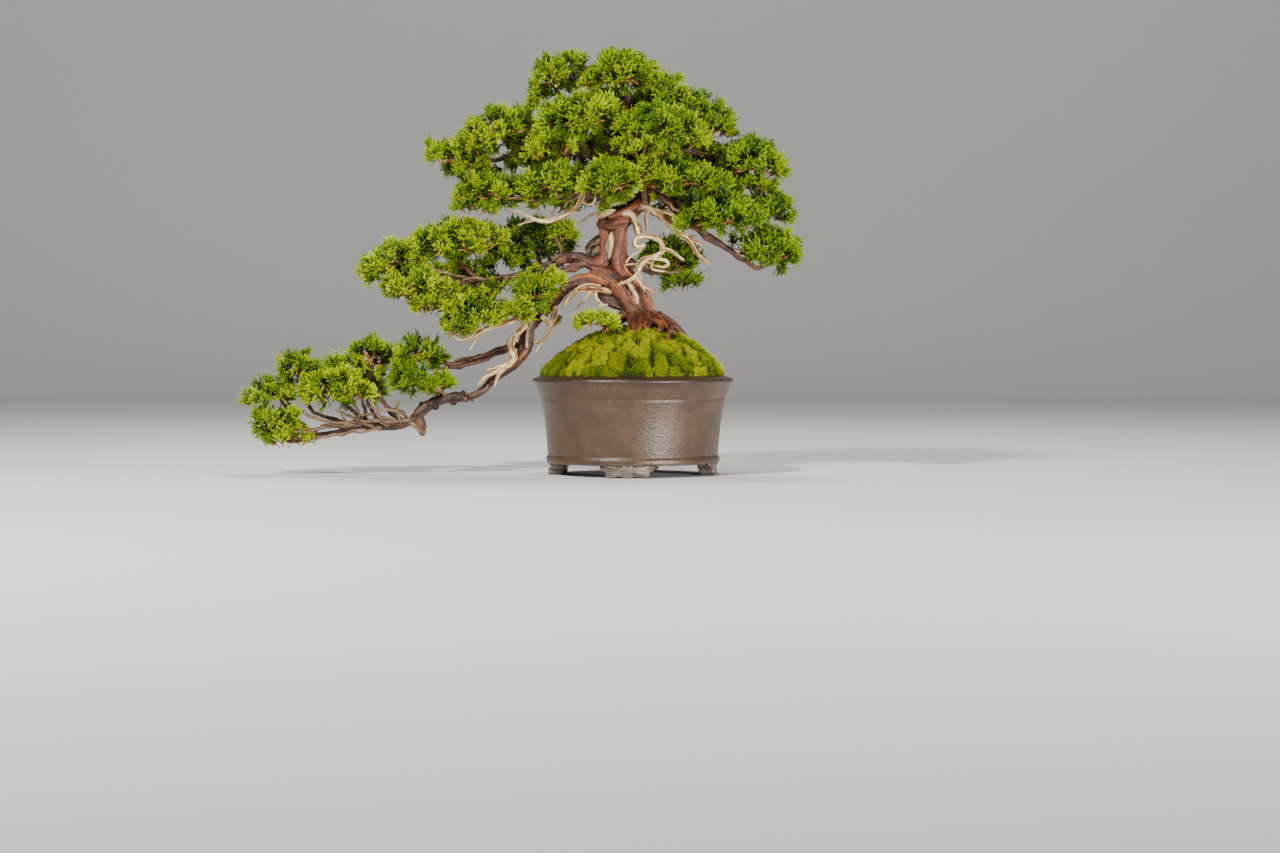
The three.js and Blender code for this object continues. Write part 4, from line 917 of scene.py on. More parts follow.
def bark_material():
    """Live bark: red-brown fibres on the trunk, flaky grey-brown with age, pale where bare, with
    painted shade darkening its furrows and the gaps between veins.
    """
    s = Shader("bark", 0.62, 0.6)
    grain = s.attribute("grain", "Vector")
    fibre = s.noise(grain, 1.0, 6.0, 0.66, 0.5)
    fine = s.noise(grain, 3.4, 4.0, 0.6)
    patch = s.noise(s.position(), 42.0, 3.0)
    red = s.ramp(fibre, [
        (0.30, (0.016, 0.003, 0.001)), (0.44, (0.11, 0.021, 0.006)),
        (0.58, (0.32, 0.076, 0.017)), (0.76, (0.72, 0.27, 0.060)),
    ])
    purple = s.ramp(fibre, [
        (0.30, (0.012, 0.003, 0.001)), (0.48, (0.085, 0.017, 0.008)), (0.72, (0.34, 0.098, 0.034)),
    ])
    red = s.mix(s.ramp(patch, [(0.42, 0.0), (0.60, 1.0)]), red, purple)
    orange = s.ramp(fibre, [
        (0.28, (0.16, 0.036, 0.008)), (0.5, (0.56, 0.18, 0.030)), (0.75, (0.86, 0.42, 0.10)),
    ])
    old = s.ramp(fibre, [
        (0.32, (0.010, 0.005, 0.003)), (0.49, (0.062, 0.027, 0.012)),
        (0.63, (0.20, 0.092, 0.036)), (0.8, (0.42, 0.25, 0.12)),
    ])
    bare = s.ramp(fibre, [
        (0.25, (0.08, 0.038, 0.014)), (0.44, (0.46, 0.28, 0.105)),
        (0.57, (0.80, 0.62, 0.33)), (0.8, (0.95, 0.86, 0.60)),
    ])
    torn = s.math("MULTIPLY", s.attribute("edge"), s.ramp(patch, [(0.40, 0.15), (0.58, 1.0)]))
    colour = s.mix(torn, s.mix(s.attribute("age"), red, old), orange)
    colour = s.mix(s.attribute("bare"), colour, bare)
    # Painted shade in the furrows and between veins multiplies the colour down.
    groove = s.ramp(s.attribute("groove"), [(0.0, 0.06), (0.55, 1.0)])
    colour = s.mix(1.0, colour, groove, "MULTIPLY")
    s.colour(colour)
    s.roughness(s.ramp(fine, [(0.3, 0.26), (0.7, 0.52)]))
    height = s.math("ADD", s.math("MULTIPLY", fibre, 1.4), fine)
    s.bump(height, 0.0009, 0.85)
    return s.material


def deadwood_material():
    """Bleached wood: cream and straw, with grey-brown in its grooves, partly the wood's own colour
    and partly painted shade.
    """
    s = Shader("deadwood", 0.72, 0.3)
    grain = s.attribute("grain", "Vector")
    streak = s.noise(grain, 1.3, 5.0, 0.62, 0.3)
    fine = s.noise(grain, 3.6, 4.0, 0.6)
    colour = s.ramp(streak, [
        (0.34, (0.16, 0.075, 0.026)), (0.46, (0.62, 0.42, 0.19)),
        (0.56, (0.88, 0.74, 0.46)), (0.80, (0.98, 0.92, 0.72)),
    ])
    # grey-brown down in the grooves: partly the wood's own, partly painted shade
    groove = s.ramp(s.attribute("groove"), [
        (0.12, (0.16, 0.080, 0.030)), (0.38, (0.62, 0.46, 0.28)), (0.62, (1.0, 1.0, 1.0)),
    ])
    s.colour(s.mix(1.0, colour, groove, "MULTIPLY"))
    s.bump(s.math("ADD", streak, s.math("MULTIPLY", fine, 0.6)), 0.0006, 0.8)
    return s.material


def twig_material():
    """Young twigs: orange-tan, darker towards the old wood."""
    s = Shader("twig", 0.6, 0.35)
    spot = s.noise(s.position(), 260.0, 3.0)
    young = s.ramp(spot, [
        (0.3, (0.18, 0.066, 0.020)), (0.5, (0.46, 0.20, 0.060)), (0.75, (0.72, 0.42, 0.16)),
    ])
    s.colour(s.mix(s.attribute("age"), young, (0.09, 0.045, 0.028)))
    s.bump(spot, 0.0004, 0.7)
    return s.material


def foliage_material():
    """Scale leaves from brown stems to yellow-green tips, with painted shade: deep green inside a
    cloud and bright at its edge, and darker in each fan's middle.
    """
    s = Shader("foliage", 0.55, 0.10)
    tint, along = s.map_places()
    # deep: the dark green of painted shade inside the clouds and on those away from the key light,
    # also taken by darker leaves; along each fan the dark middle is painted shade, and the bright
    # tips are partly young growth and partly painted light
    deep = s.ramp(along, [
        (0.0, (0.09, 0.036, 0.010)), (0.28, (0.05, 0.026, 0.006)), (0.42, (0.008, 0.022, 0.002)),
        (0.62, (0.018, 0.056, 0.002)), (0.82, (0.048, 0.130, 0.002)), (1.0, (0.15, 0.30, 0.002)),
    ])
    bright = s.ramp(along, [
        (0.0, (0.48, 0.19, 0.045)), (0.28, (0.38, 0.17, 0.028)), (0.42, (0.080, 0.115, 0.001)),
        (0.62, (0.088, 0.170, 0.000)), (0.8, (0.23, 0.350, 0.000)), (1.0, (0.56, 0.64, 0.000)),
    ])
    s.colour(s.mix(tint, deep, bright))
    return s.material


def moss_material():
    """Moss: yellow-green at the blades' tips, and dark down in the cushions and in the cracks between
    them, which is painted shade.
    """
    s = Shader("moss", 0.85, 0.2)
    tint, along = s.map_places()
    # along runs from painted shade deep down to the blades' tips; the tint is each cushion's own tone
    deep = s.ramp(along, [
        (0.0, (0.006, 0.005, 0.001)), (0.45, (0.045, 0.080, 0.002)), (1.0, (0.17, 0.29, 0.002)),
    ])
    bright = s.ramp(along, [
        (0.0, (0.012, 0.009, 0.001)), (0.45, (0.19, 0.23, 0.001)), (1.0, (0.74, 0.72, 0.002)),
    ])
    s.colour(s.mix(tint, deep, bright))
    return s.material


def stoneware_material():
    """Unglazed fired clay: grey-brown, mottled and speckled, with a satin sheen."""
    s = Shader("stoneware", 0.45, 0.7)
    at = s.position()
    mottle = s.noise(at, 48.0, 5.0, 0.62, 0.2)
    cloud = s.noise(at, 7.0, 2.0)
    speck = s.noise(at, 520.0, 2.0, 0.5)
    pit = s.noise(at, 300.0, 3.0, 0.6)
    body = s.ramp(mottle, [
        (0.3, (0.022, 0.009, 0.003)), (0.5, (0.054, 0.024, 0.010)), (0.72, (0.098, 0.049, 0.023)),
    ])
    body = s.mix(s.ramp(cloud, [(0.35, 0.0), (0.7, 0.45)]), body, (0.105, 0.054, 0.026))
    body = s.mix(s.ramp(speck, [(0.62, 0.0), (0.70, 0.16)]), body, (0.27, 0.20, 0.15))
    body = s.mix(s.ramp(pit, [(0.30, 0.8), (0.36, 0.0)]), body, (0.02, 0.014, 0.012))
    height = s.node("ShaderNodeSeparateXYZ", {"Vector": at}).outputs["Z"]
    rim = s.ramp(height, [(0.1235, 0.0), (0.1260, 0.85)])
    body = s.mix(rim, body, (0.030, 0.013, 0.008))
    worn = s.math("MULTIPLY", s.ramp(height, [(0.0150, 1.0), (0.0175, 0.0)]),
                  s.ramp(mottle, [(0.35, 0.2), (0.6, 0.9)]))
    body = s.mix(worn, body, (0.21, 0.17, 0.145))
    s.colour(body)
    s.roughness(s.ramp(mottle, [(0.3, 0.32), (0.7, 0.42)]))
    stretched = s.node("ShaderNodeMapping", {"Vector": at, "Scale": (8.0, 8.0, 420.0)})
    lines = s.noise(stretched.outputs["Vector"], 1.0, 2.0)
    rough = s.math("ADD", s.math("MULTIPLY", pit, 0.8), s.math("MULTIPLY", lines, 0.10))
    s.bump(s.math("ADD", rough, s.math("MULTIPLY", speck, 0.4)), 0.0009, 0.8)
    return s.material


def soil_material():
    """Dark grit, grain by grain."""
    s = Shader("soil", 0.95, 0.15)
    grit = s.node("ShaderNodeTexVoronoi", {"Vector": s.position(), "Scale": 420.0})
    s.colour(s.ramp(grit.outputs["Color"], [
        (0.2, (0.012, 0.009, 0.006)), (0.5, (0.05, 0.034, 0.022)), (0.85, (0.13, 0.088, 0.055)),
    ]))
    s.bump(grit.outputs["Distance"], 0.0012, 1.0)
    return s.material


def wire_material():
    """Oxidised training wire."""
    s = Shader("wire", 0.42, 0.5)
    s.surface.inputs["Metallic"].default_value = 0.75
    spot = s.noise(s.position(), 320.0, 4.0)
    s.colour(s.ramp(spot, [(0.3, (0.03, 0.018, 0.013)), (0.7, (0.13, 0.068, 0.042))]))
    s.roughness(s.ramp(spot, [(0.3, 0.32), (0.7, 0.6)]))
    s.bump(spot, 0.0003, 0.5)
    return s.material


def screen_material():
    """Dull black plastic."""
    s = Shader("screen", 0.55, 0.4)
    spot = s.noise(s.position(), 200.0, 3.0)
    s.colour(s.ramp(spot, [(0.3, (0.010, 0.010, 0.010)), (0.7, (0.028, 0.028, 0.028))]))
    s.bump(spot, 0.0002, 0.5)
    return s.material


# ---- Living wood --------------------------------------------------------------------------


def twisted(route, radii, strands, share, out, twist, start):
    """A limb as veins wound round one another."""
    limb = Limb(route, radii, CORE_STEP)
    veins = []
    for k in range(strands):
        turn = 2 * math.pi * k / strands + twist * limb.along + start
        sway = 1 + 0.16 * noise(drift(limb.along, 40, k))
        reach = (limb.radius * out * sway)[:, None]
        line = limb.centre + reach * spokes(limb.side, limb.other, turn)
        veins.append(Limb(line[::3], list((limb.radius * share)[::3]), CORE_STEP))
    return veins


def plain(limb, sides, seed, uneven=0.13):
    """A limb's tube with an uneven outline, as (points, quads, triangles)."""
    turn = around(sides)
    at = np.stack([
        np.repeat(limb.along / 22, sides),
        np.tile(1.3 * np.cos(turn), len(limb.along)),
        np.tile(1.3 * np.sin(turn), len(limb.along)),
    ], axis=1)
    swell = 1 + uneven * fractal(at, 2, seed).reshape(len(limb.along), sides)
    return closed_tube(limb, limb.radius[:, None] * swell, sides)


def remesh(obj, voxel):
    """Replaces a piece's mesh by one even, softened skin."""
    modifier = obj.modifiers.new("even", "REMESH")
    modifier.mode = "VOXEL"
    modifier.voxel_size = voxel
    modifier.use_smooth_shade = True
    smooth = obj.modifiers.new("soft", "SMOOTH")
    smooth.factor = 0.5
    smooth.iterations = 3
    graph = bpy.context.evaluated_depsgraph_get()
    mesh = bpy.data.meshes.new_from_object(obj.evaluated_get(graph))
    old = obj.data
    obj.modifiers.clear()
    obj.data = mesh
    bpy.data.meshes.remove(old)


def along_limbs(points, limbs):
    """For each point (mm): the nearest limb, the place along and round it, and how much further
    away the next limb's surface is."""
    centres = np.vstack([limb.centre for limb in limbs])
    sides = np.vstack([limb.side for limb in limbs])
    others = np.vstack([limb.other for limb in limbs])
    radii = np.concatenate([limb.radius for limb in limbs])
    alongs = np.concatenate([limb.along for limb in limbs])
    starts = np.concatenate([[0], np.cumsum([len(limb.along) for limb in limbs])[:-1]])
    nearest = np.empty(len(points), int)
    which = np.empty(len(points), int)
    spare = np.empty(len(points))
    for i in range(0, len(points), BLOCK):
        part = slice(i, i + BLOCK)
        away = np.linalg.norm(points[part, None] - centres[None], axis=2) - radii[None]
        nearest[part] = away.argmin(axis=1)
        closest = np.minimum.reduceat(away, starts, axis=1)
        which[part] = closest.argmin(axis=1)
        two = np.partition(closest, 1, axis=1)
        spare[part] = two[:, 1] - two[:, 0]
    offset = points - centres[nearest]
    x = (offset * sides[nearest]).sum(axis=1)
    y = (offset * others[nearest]).sum(axis=1)
    return which, alongs[nearest], x, y, radii[nearest], spare


def near_path(points, path, width):
    """1 on a path over the surface, falling to 0 past its width."""
    route, _ = smooth_curve(path, 10)
    away = np.full(len(points), 1e9)
    for centre in route:
        away = np.minimum(away, np.linalg.norm(points - centre, axis=1))
    return np.clip(ORANGE_FADE - away / width, 0, 1)


def wood_limbs():
    """Every vein of the living wood: (limb, age, bare), age from young 0 to flaky 1."""
    back = [[x, y + CORE_BACK, z] for x, y, z in TRUNK["route"]]
    core = twisted(
        back, TRUNK["radii"], CORE_STRANDS, CORE_SHARE, CORE_OUT, CORE_TWIST, CORE_START
    )
    found = [(limb, 0.25, 0) for limb in core]
    for spec, start in zip((UPPER_BRANCH, CASCADE), PAIR_STARTS):
        pair = twisted(
            spec["route"], spec["radii"], 2, PAIR_SHARE, PAIR_OUT, PAIR_TWIST, start
        )
        found += [(limb, OLD, 0) for limb in pair]
    found += [(Limb(route, ROOT_RADII, VEIN_STEP), 0.35, 0) for route in ROOTS]
    for age, bare, rows in VEINS:
        rows = np.array(rows, float)
        found.append((Limb(rows[:, :3], list(rows[:, 3]), VEIN_STEP), age, bare))
    return found


def living_wood(material):
    """Trunk, roots and both left branches: veins under one skin of furrowed bark."""
    limbs, ages, bares = zip(*wood_limbs())
    points, *faces = stack([plain(limb, WOOD_SIDES, 40 + i) for i, limb in enumerate(limbs)])
    obj = make_mesh("living_wood", place(points), faces)
    remesh(obj, VOXEL * MM)
    mm = (read_points(obj) - AXIS) / MM
    which, along, x, y, radius, spare = along_limbs(mm, limbs)
    grain = np.stack([along * 0.05 + 3.7 * which, x * 0.5, y * 0.5], axis=1)
    fibre = fractal(grain * 1.2, 3, 7)
    lump = fractal(mm / 14, 2, 11)
    flake = np.abs(fractal(grain * 2.1, 2, 23))
    age = np.array(ages)[which]
    thick = np.clip(radius / 10, 0.3, 1)
    push_points(obj, thick * (0.75 * fibre + 0.8 * lump) + 0.6 * flake * age)
    # Painted shade: the colour darkens where the bark is pushed in and where a neighbouring vein
    # comes close.
    crevice = np.clip(spare / CREVICE, 0, 1)
    set_layers(
        obj, grain=grain, age=np.clip(age + 0.25 * lump, 0, 1),
        bare=np.array(bares, float)[which],
        edge=np.max([near_path(mm, path, width) for path, width in ORANGE_EDGES], axis=0),
        groove=np.clip((0.62 + 0.55 * fibre) * (0.12 + 0.88 * crevice), 0, 1),
    )
    finish_piece(obj, material, "trunk_and_branches")


def limbs_and_branchlets(material):
    """The limbs that carry the foliage, each a swaying tube of old bark."""
    parts, grains, bares = [], [], []
    for i, (first, last, route) in enumerate(LIMBS + THIN_LIMBS):
        limb = Limb(route, [first, last], LIMB_STEP)
        calm = np.clip(limb.along / 12, 0, 1)
        sway = 1.6 * calm * fractal(drift(limb.along, 13, i), 2, 5)
        limb.centre = limb.centre + limb.side * sway[:, None]
        parts.append(plain(limb, LIMB_SIDES, 90 + i, 0.26))
        turn = np.tile(around(LIMB_SIDES), len(limb.along))
        reach = np.repeat(limb.radius, LIMB_SIDES)
        grain = np.stack([
            np.repeat(limb.along, LIMB_SIDES) * 0.06 + 9 * i,
            reach * np.cos(turn) * 0.55, reach * np.sin(turn) * 0.55,
        ], axis=1)
        grains.append(np.vstack([grain, grain[:1], grain[-1:]]))
        bares.append(np.full(len(grains[-1]), 0.0 if i < len(LIMBS) else THIN_BARE))
    points, *faces = stack(parts)
    grain = np.vstack(grains)
    obj = make_mesh("limbs_and_branchlets", place(points), faces)
    fibre = fractal(grain * 1.3, 3, 5)
    push_points(obj, 0.8 * fibre)
    set_layers(
        obj, grain=grain, age=np.full(len(grain), OLD), bare=np.concatenate(bares),
        # painted shade: darker where the fibre pushes the bark in
        edge=np.zeros(len(grain)), groove=np.clip(0.65 + 0.5 * fibre, 0, 1),
    )
    finish_piece(obj, material, "trunk_and_branches")


# ---- Deadwood -----------------------------------------------------------------------------


def dead_strand(first, last, route, seed):
    """A bleached strand: grooved along its length, uneven, drawn out to a broken tip."""
    limb = Limb(route, [first, last], DEAD_STEP)
    along = limb.along[:, None]
    twist = 0.02 * along + 0.7 * seed
    spun = around(DEAD_SIDES)[None] + twist
    grain = np.stack([
        np.broadcast_to(along * 0.05, spun.shape) + 7 * seed,
        first * np.cos(spun) * 0.7, first * np.sin(spun) * 0.7,
    ], axis=-1)
    flat = grain.reshape(-1, 3)
    groove = np.clip(fractal(flat * np.array([1.0, 0.9, 0.9]), 3, 3), -1, 1).reshape(spun.shape)
    ridge = 0.5 + 0.5 * np.cos(3 * spun + 1.5 * np.sin(along / 11))
    swell = 1 + 0.14 * noise(drift(limb.along, 9, seed), 3)
    left = (limb.along[-1] - limb.along)[:, None]
    taper = np.clip(DEAD_TIP + left / (DEAD_TAPER * max(last, 1.0)), 0, 1)
    radius = limb.radius[:, None] * swell[:, None] * taper * (0.86 + 0.18 * groove + 0.12 * ridge)
    part = closed_tube(limb, radius, DEAD_SIDES)
    grain = np.vstack([flat, flat[:1], flat[-1:]])
    # How deep in a groove each point lies; the material darkens the grooves, partly the wood's own
    # grey-brown and partly painted shade.
    depth = np.clip(0.5 + 0.5 * groove + 0.35 * (ridge - 0.5), 0, 1).ravel()
    return part, grain, np.concatenate([depth, [0.5, 0.5]])


def deadwood(name, strands, material):
    """One bleached piece of several strands."""
    swell = STOUTER.get(name, 1.0)
    parts, grains, depths = zip(*[
        dead_strand(first * swell, last * swell, route, i + len(name))
        for i, (first, last, route) in enumerate(strands + FINE_DEADWOOD.get(name, []))
    ])
    points, *faces = stack(parts)
    obj = make_mesh(name + "_wood", place(points), faces)
    groove = np.concatenate(depths) * BLEACHED.get(name, 1.0)
    set_layers(obj, grain=np.vstack(grains), groove=groove)
    finish_piece(obj, material, name)


# ---- Wires --------------------------------------------------------------------------------


def wire(name, spec, start_share, end_share, turns, start_turn, material):
    """A wire wound round a stretch of its branch."""
    limb = Limb(spec["route"], spec["radii"], 1.0)
    share = np.linspace(start_share, end_share, int(turns * 26))
    index = np.clip((share * (len(limb.along) - 1)).round().astype(int), 0, len(limb.along) - 1)
    turn = start_turn + 2 * math.pi * turns * np.linspace(0, 1, len(share))
    reach = limb.radius[index] * 1.04 + WIRE_RADIUS + 2 * GAP
    ways = spokes(limb.side[index], limb.other[index], turn)
    line = Limb(limb.centre[index] + reach[:, None] * ways, [WIRE_RADIUS] * 2, WIRE_STEP)
    points, *faces = closed_tube(line, line.radius, WIRE_SIDES)
    obj = make_mesh(name + "_round", place(points), faces)
    finish_piece(obj, material, name)


# ---- Foliage ------------------------------------------------------------------------------

SHOOT_FACES = np.array(
    [[0, 1, 4], [0, 4, 3], [1, 2, 5], [1, 5, 4], [2, 0, 3], [2, 3, 5], [3, 4, 5]]
)
POINTED_FACES = np.array([[0, 1, 3], [1, 2, 3], [2, 0, 3]])


def three_round(centre, way, radius):
    """Three points round a shoot that grows along a way."""
    side = unit(np.cross(way, [0.31, 0.83, 0.46]))
    other = np.cross(way, side)
    turns = [2 * math.pi * k / 3 for k in range(3)]
    return [centre + radius * (side * math.cos(t) + other * math.sin(t)) for t in turns]


def shoot(start, end, thick, thin, low, high, tint):
    """A three-sided leafy shoot with a blunt end: points, faces and map places."""
    way = unit(end - start)
    points = three_round(start, way, thick) + three_round(end, way, thin)
    places = [[tint + 0.02 * k, along] for along in (low, high) for k in range(3)]
    return np.array(points), SHOOT_FACES, np.array(places)


def spur(start, end, width, low, high):
    """A short pointed shoot: points, faces and map places."""
    points = three_round(start, unit(end - start), width) + [end]
    places = [[0.0, low], [0.02, low], [0.04, low], [0.02, high]]
    return np.array(points), POINTED_FACES, np.array(places)


def grow_fan(random, start, way, plane, level, parts, spurs):
    """A shoot and the forks it bears, each set of forks lying nearly in one plane."""
    length = FAN_LENGTHS[level] * random.uniform(*FAN_UNEVEN)
    end = start + way * length
    last = len(FAN_LENGTHS) - 1
    low, high = level / (last + 1), min((level + 1) / (last + 1), MAP_TOP)
    thin = FAN_RADII[min(level + 1, last)]
    parts.append(shoot(start, end, FAN_RADII[level], thin, low, high, random.uniform(-0.05, 0.05)))
    if level >= 2:
        for k in range(spurs):
            share = SPUR_FIRST + SPUR_EVERY * k
            tilt = (SPUR_TILT if k % 2 else -SPUR_TILT) + random.normal(0, 0.10)
            lean = unit(way * math.cos(tilt) + plane * math.sin(tilt) + random.normal(0, 0.12, 3))
            base = start + way * length * share
            reach = SPUR_LENGTH * random.uniform(0.7, 1.2)
            mid = low + (high - low) * share
            tip = base + lean * reach
            parts.append(spur(base, tip, SPUR_WIDTH, mid, min(mid + 0.22, MAP_TOP)))
    if level == last:
        return
    forks = int(FAN_FORKS[level] + random.uniform(0, 0.999))
    across = unit(np.cross(way, plane))
    for k in range(forks):
        share = 2 * k / max(forks - 1, 1) - 1
        tilt = share * random.uniform(*FORK_TILTS) + random.normal(0, 0.08)
        lift = random.normal(0, 0.15)
        direction = unit(
            way * math.cos(tilt) + plane * math.sin(tilt) + across * lift
            + np.array([0, 0, FORK_RISE])
        )
        base = start + way * length * (1 - 0.45 * abs(share) * random.uniform(0.4, 1))
        twist = random.normal(0.0, 0.5)
        turned = plane * math.cos(twist) + across * math.sin(twist)
        turned = unit(turned - direction * (turned @ direction))
        grow_fan(random, base, direction, turned, level + 1, parts, spurs)


def make_fan(random, spurs):
    """One fan of forked scale shoots that grows along +Z from its foot."""
    parts = []
    spin = random.uniform(0, 2 * math.pi)
    plane = np.array([math.cos(spin), math.sin(spin), 0.0])
    up = np.array([0.0, 0.0, 1.0])
    grow_fan(random, np.zeros(3), up, plane, 0, parts, spurs)
    grow_fan(random, 3 * up, up, np.cross(up, plane), 1, parts, spurs)
    return stack(parts, (1,))


def sloped(vectors, degrees):
    """Turns vectors about Y so that a positive slope raises the right end."""
    c, s = math.cos(math.radians(degrees)), math.sin(math.radians(degrees))
    vectors = np.asarray(vectors, float)
    x, y, z = vectors[..., 0], vectors[..., 1], vectors[..., 2]
    return np.stack([x * c - z * s, y, x * s + z * c], axis=-1)


def outline(cloud, direction, share):
    """The point of a cloud's outline in a direction of its own; flatter below than above."""
    middle, size, slope, _ = cloud
    direction = np.asarray(direction, float)
    drop = np.where(direction[..., 2:] < 0, 0.8, 1.0)
    scale = np.concatenate([np.ones(direction.shape[:-1] + (2,)), drop], axis=-1)
    return np.asarray(middle) + sloped(np.asarray(size) * direction * scale * share, slope)


def depth_in(points, cloud):
    """0 at a cloud's middle, 1 on its outline."""
    middle, size, slope, _ = cloud
    return np.linalg.norm(sloped(points - np.array(middle), -slope) / np.array(size), axis=-1)


def turned_to(directions, spins):
    """Rotation matrices that take +Z to each direction after a spin about it."""
    z = unit(directions)
    helper = np.where(np.abs(z[:, 2:]) < 0.9, [[0.0, 0.0, 1.0]], [[1.0, 0.0, 0.0]])
    x = unit(np.cross(helper, z))
    y = np.cross(z, x)
    c, s = np.cos(spins)[:, None], np.sin(spins)[:, None]
    return np.stack([x * c + y * s, -x * s + y * c, z], axis=2)


def tuft_places(name, cloud, random):
    """Each tuft's foot, the way it grows and its scale, spread evenly over the cloud."""
    _, size, slope, _ = cloud
    wide, deep, high = size
    area = 4 * math.pi * (wide * deep + wide * high + deep * high) / 3 * (1 - UNDER) / 2
    count = max(TUFTS_AT_LEAST, int(area / TUFT_SPACING**2))
    others = [other for key, other in CLOUDS.items() if key != name]
    tufts = []
    for i in range(count):
        up = 1 + (UNDER - 1) * (i + 0.5) / count
        turn = GOLDEN_TURN * i + random.normal(0, 0.25)
        flat = math.sqrt(1 - up * up)
        direction = np.array([flat * math.cos(turn), flat * math.sin(turn), up])
        away = sloped(direction / np.array(size) * min(size), slope)
        grow = unit(away * 0.9 + np.array([0, 0, TUFT_RISE]))
        swell = 0.97 + 0.15 * noise(direction[None] * 2.3 + len(name), 9)[0]
        top = outline(cloud, direction, swell * random.uniform(*TUFT_OUT))
        if random.uniform() < TUFTS_LEFT_OUT:
            continue
        if any(depth_in(top, other) < TUFT_BURIED for other in others):
            continue
        scale = random.uniform(*TUFT_SCALES) * (1.0 if up > -0.1 else UNDER_SCALE)
        scale *= min(1.0, max(min(size) / FLAT_CLOUD, SMALLEST))
        tufts.append((top - grow * FAN_TALL * scale * 0.92, grow, scale))
    return tufts


def spread(kinds, fans, starts, ways, scales, tints, cloud, random):
    """Copies of the fans at their places: points, faces and map places."""
    frames = turned_to(ways, random.uniform(0, 2 * math.pi, len(starts)))
    parts = []
    for kind, (p, f, m) in enumerate(fans):
        chosen = np.nonzero(kinds == kind)[0]
        if not len(chosen):
            continue
        moved = np.einsum("nij,vj->nvi", frames[chosen], p) * scales[chosen, None, None]
        moved += starts[chosen, None]
        spot = np.broadcast_to(m, (len(chosen),) + m.shape).copy()
        # Painted shade: leaves deeper inside the cloud get a darker tint.
        lit = np.clip((depth_in(moved, cloud) - LIT_FROM) / LIT_OVER, 0.0, 1.0)
        if sum(cloud[1]) < SMALL_CLOUD:
            lit = np.ones_like(lit)
        spot[..., 0] = np.clip((spot[..., 0] + tints[chosen, None]) * lit, 0.01, 0.97)
        firsts = np.arange(len(chosen)) * len(p)
        faces = (f[None] + firsts[:, None, None]).reshape(-1, 3)
        parts.append((moved.reshape(-1, 3), faces, spot.reshape(-1, 2)))
    return stack(parts, (1,))


def sprigs_on_limbs():
    """Small sprigs along the branches inside the crown, listed under the cloud each is nearest."""
    random = np.random.default_rng(88)
    found = {name: [] for name in CLOUDS}
    for first, last, route in LIMBS:
        if route[-1][2] < SPRIG_LOWEST:
            continue
        limb = Limb(route, [first, last], SPRIG_SPACING)
        for centre, tangent, radius in list(zip(limb.centre, limb.tangent, limb.radius))[2:]:
            if any(a < centre[0] < b and c < centre[2] < d for a, b, c, d in SPRIG_FREE):
                continue
            for _ in range(2):
                way = random.normal(0, 1, 3) + np.array([0, -0.5, 0.7])
                way = unit(way - tangent * (way @ tangent) * 0.5)
                nearest = min(CLOUDS, key=lambda name: depth_in(centre, CLOUDS[name]))
                foot = centre + way * (radius - 1)
                found[nearest].append((foot, way, random.uniform(*SPRIG_SCALES)))
    return found


def foliage_cloud(name, cloud, fans, material, twigs, sprigs):
    """A cloud of fans: its tufts, plainer fans inside it, and the sprigs on its branches."""
    random = np.random.default_rng(sum(map(ord, name)) * 7919)
    middle, size, slope, bright = cloud
    tufts = tuft_places(name, cloud, random)
    for extra in FILLS.get(name, []):
        tufts += tuft_places(name, extra, random)
    starts = [foot for foot, _, _ in tufts]
    ways = [unit(grow + random.normal(0, 0.12, 3)) for _, grow, _ in tufts]
    scales = [scale for _, _, scale in tufts]
    tints = [np.clip(bright + random.normal(0, 0.13), 0.05, 0.95) for _ in tufts]
    feed = np.array(middle) + sloped([0, 0, -0.35 * size[2]], slope)
    twigs.append((feed, starts, random))
    open_cloud = sum(size) < SMALL_CLOUD
    inner = 0 if open_cloud else int(len(tufts) * INNER_SHARE)
    for _ in range(inner):
        way = unit(random.normal(0, 1, 3) + np.array([0, 0, 0.3]))
        starts.append(outline(cloud, way, random.uniform(*INNER_OUT)))
        ways.append(way)
        scales.append(random.uniform(*INNER_SCALES))
        # painted shade: the fans inside the cloud are tinted dark
        tints.append(0.2 * bright)
    for foot, way, scale in sprigs:
        starts.append(foot)
        ways.append(way)
        scales.append(scale)
        tints.append(np.clip(0.7 * bright + random.normal(0, 0.12), 0.05, 0.8))
    kinds = random.integers(0, FAN_KINDS, len(starts))
    kinds[len(tufts):len(tufts) + inner] = random.integers(FAN_KINDS, len(fans), inner)
    points, faces, places = spread(
        kinds, fans, np.array(starts), np.array(ways), np.array(scales), np.array(tints), cloud,
        random,
    )
    obj = make_mesh("leaves_" + name, place(points), [faces], False)
    set_map(obj, places)
    finish_piece(obj, material, "foliage_" + name)


def twig(random, start, end, thick, thin, sag):
    """One curved, sagging twig."""
    span = np.linalg.norm(end - start)
    middle = (start + end) / 2 + random.normal(0, 0.07 * span, 3) - [0, 0, sag * span]
    near = 0.75 * end + 0.25 * middle + random.normal(0, 0.03 * span, 3)
    return Limb([start, middle, near, end], [thick, thin], TWIG_STEP)


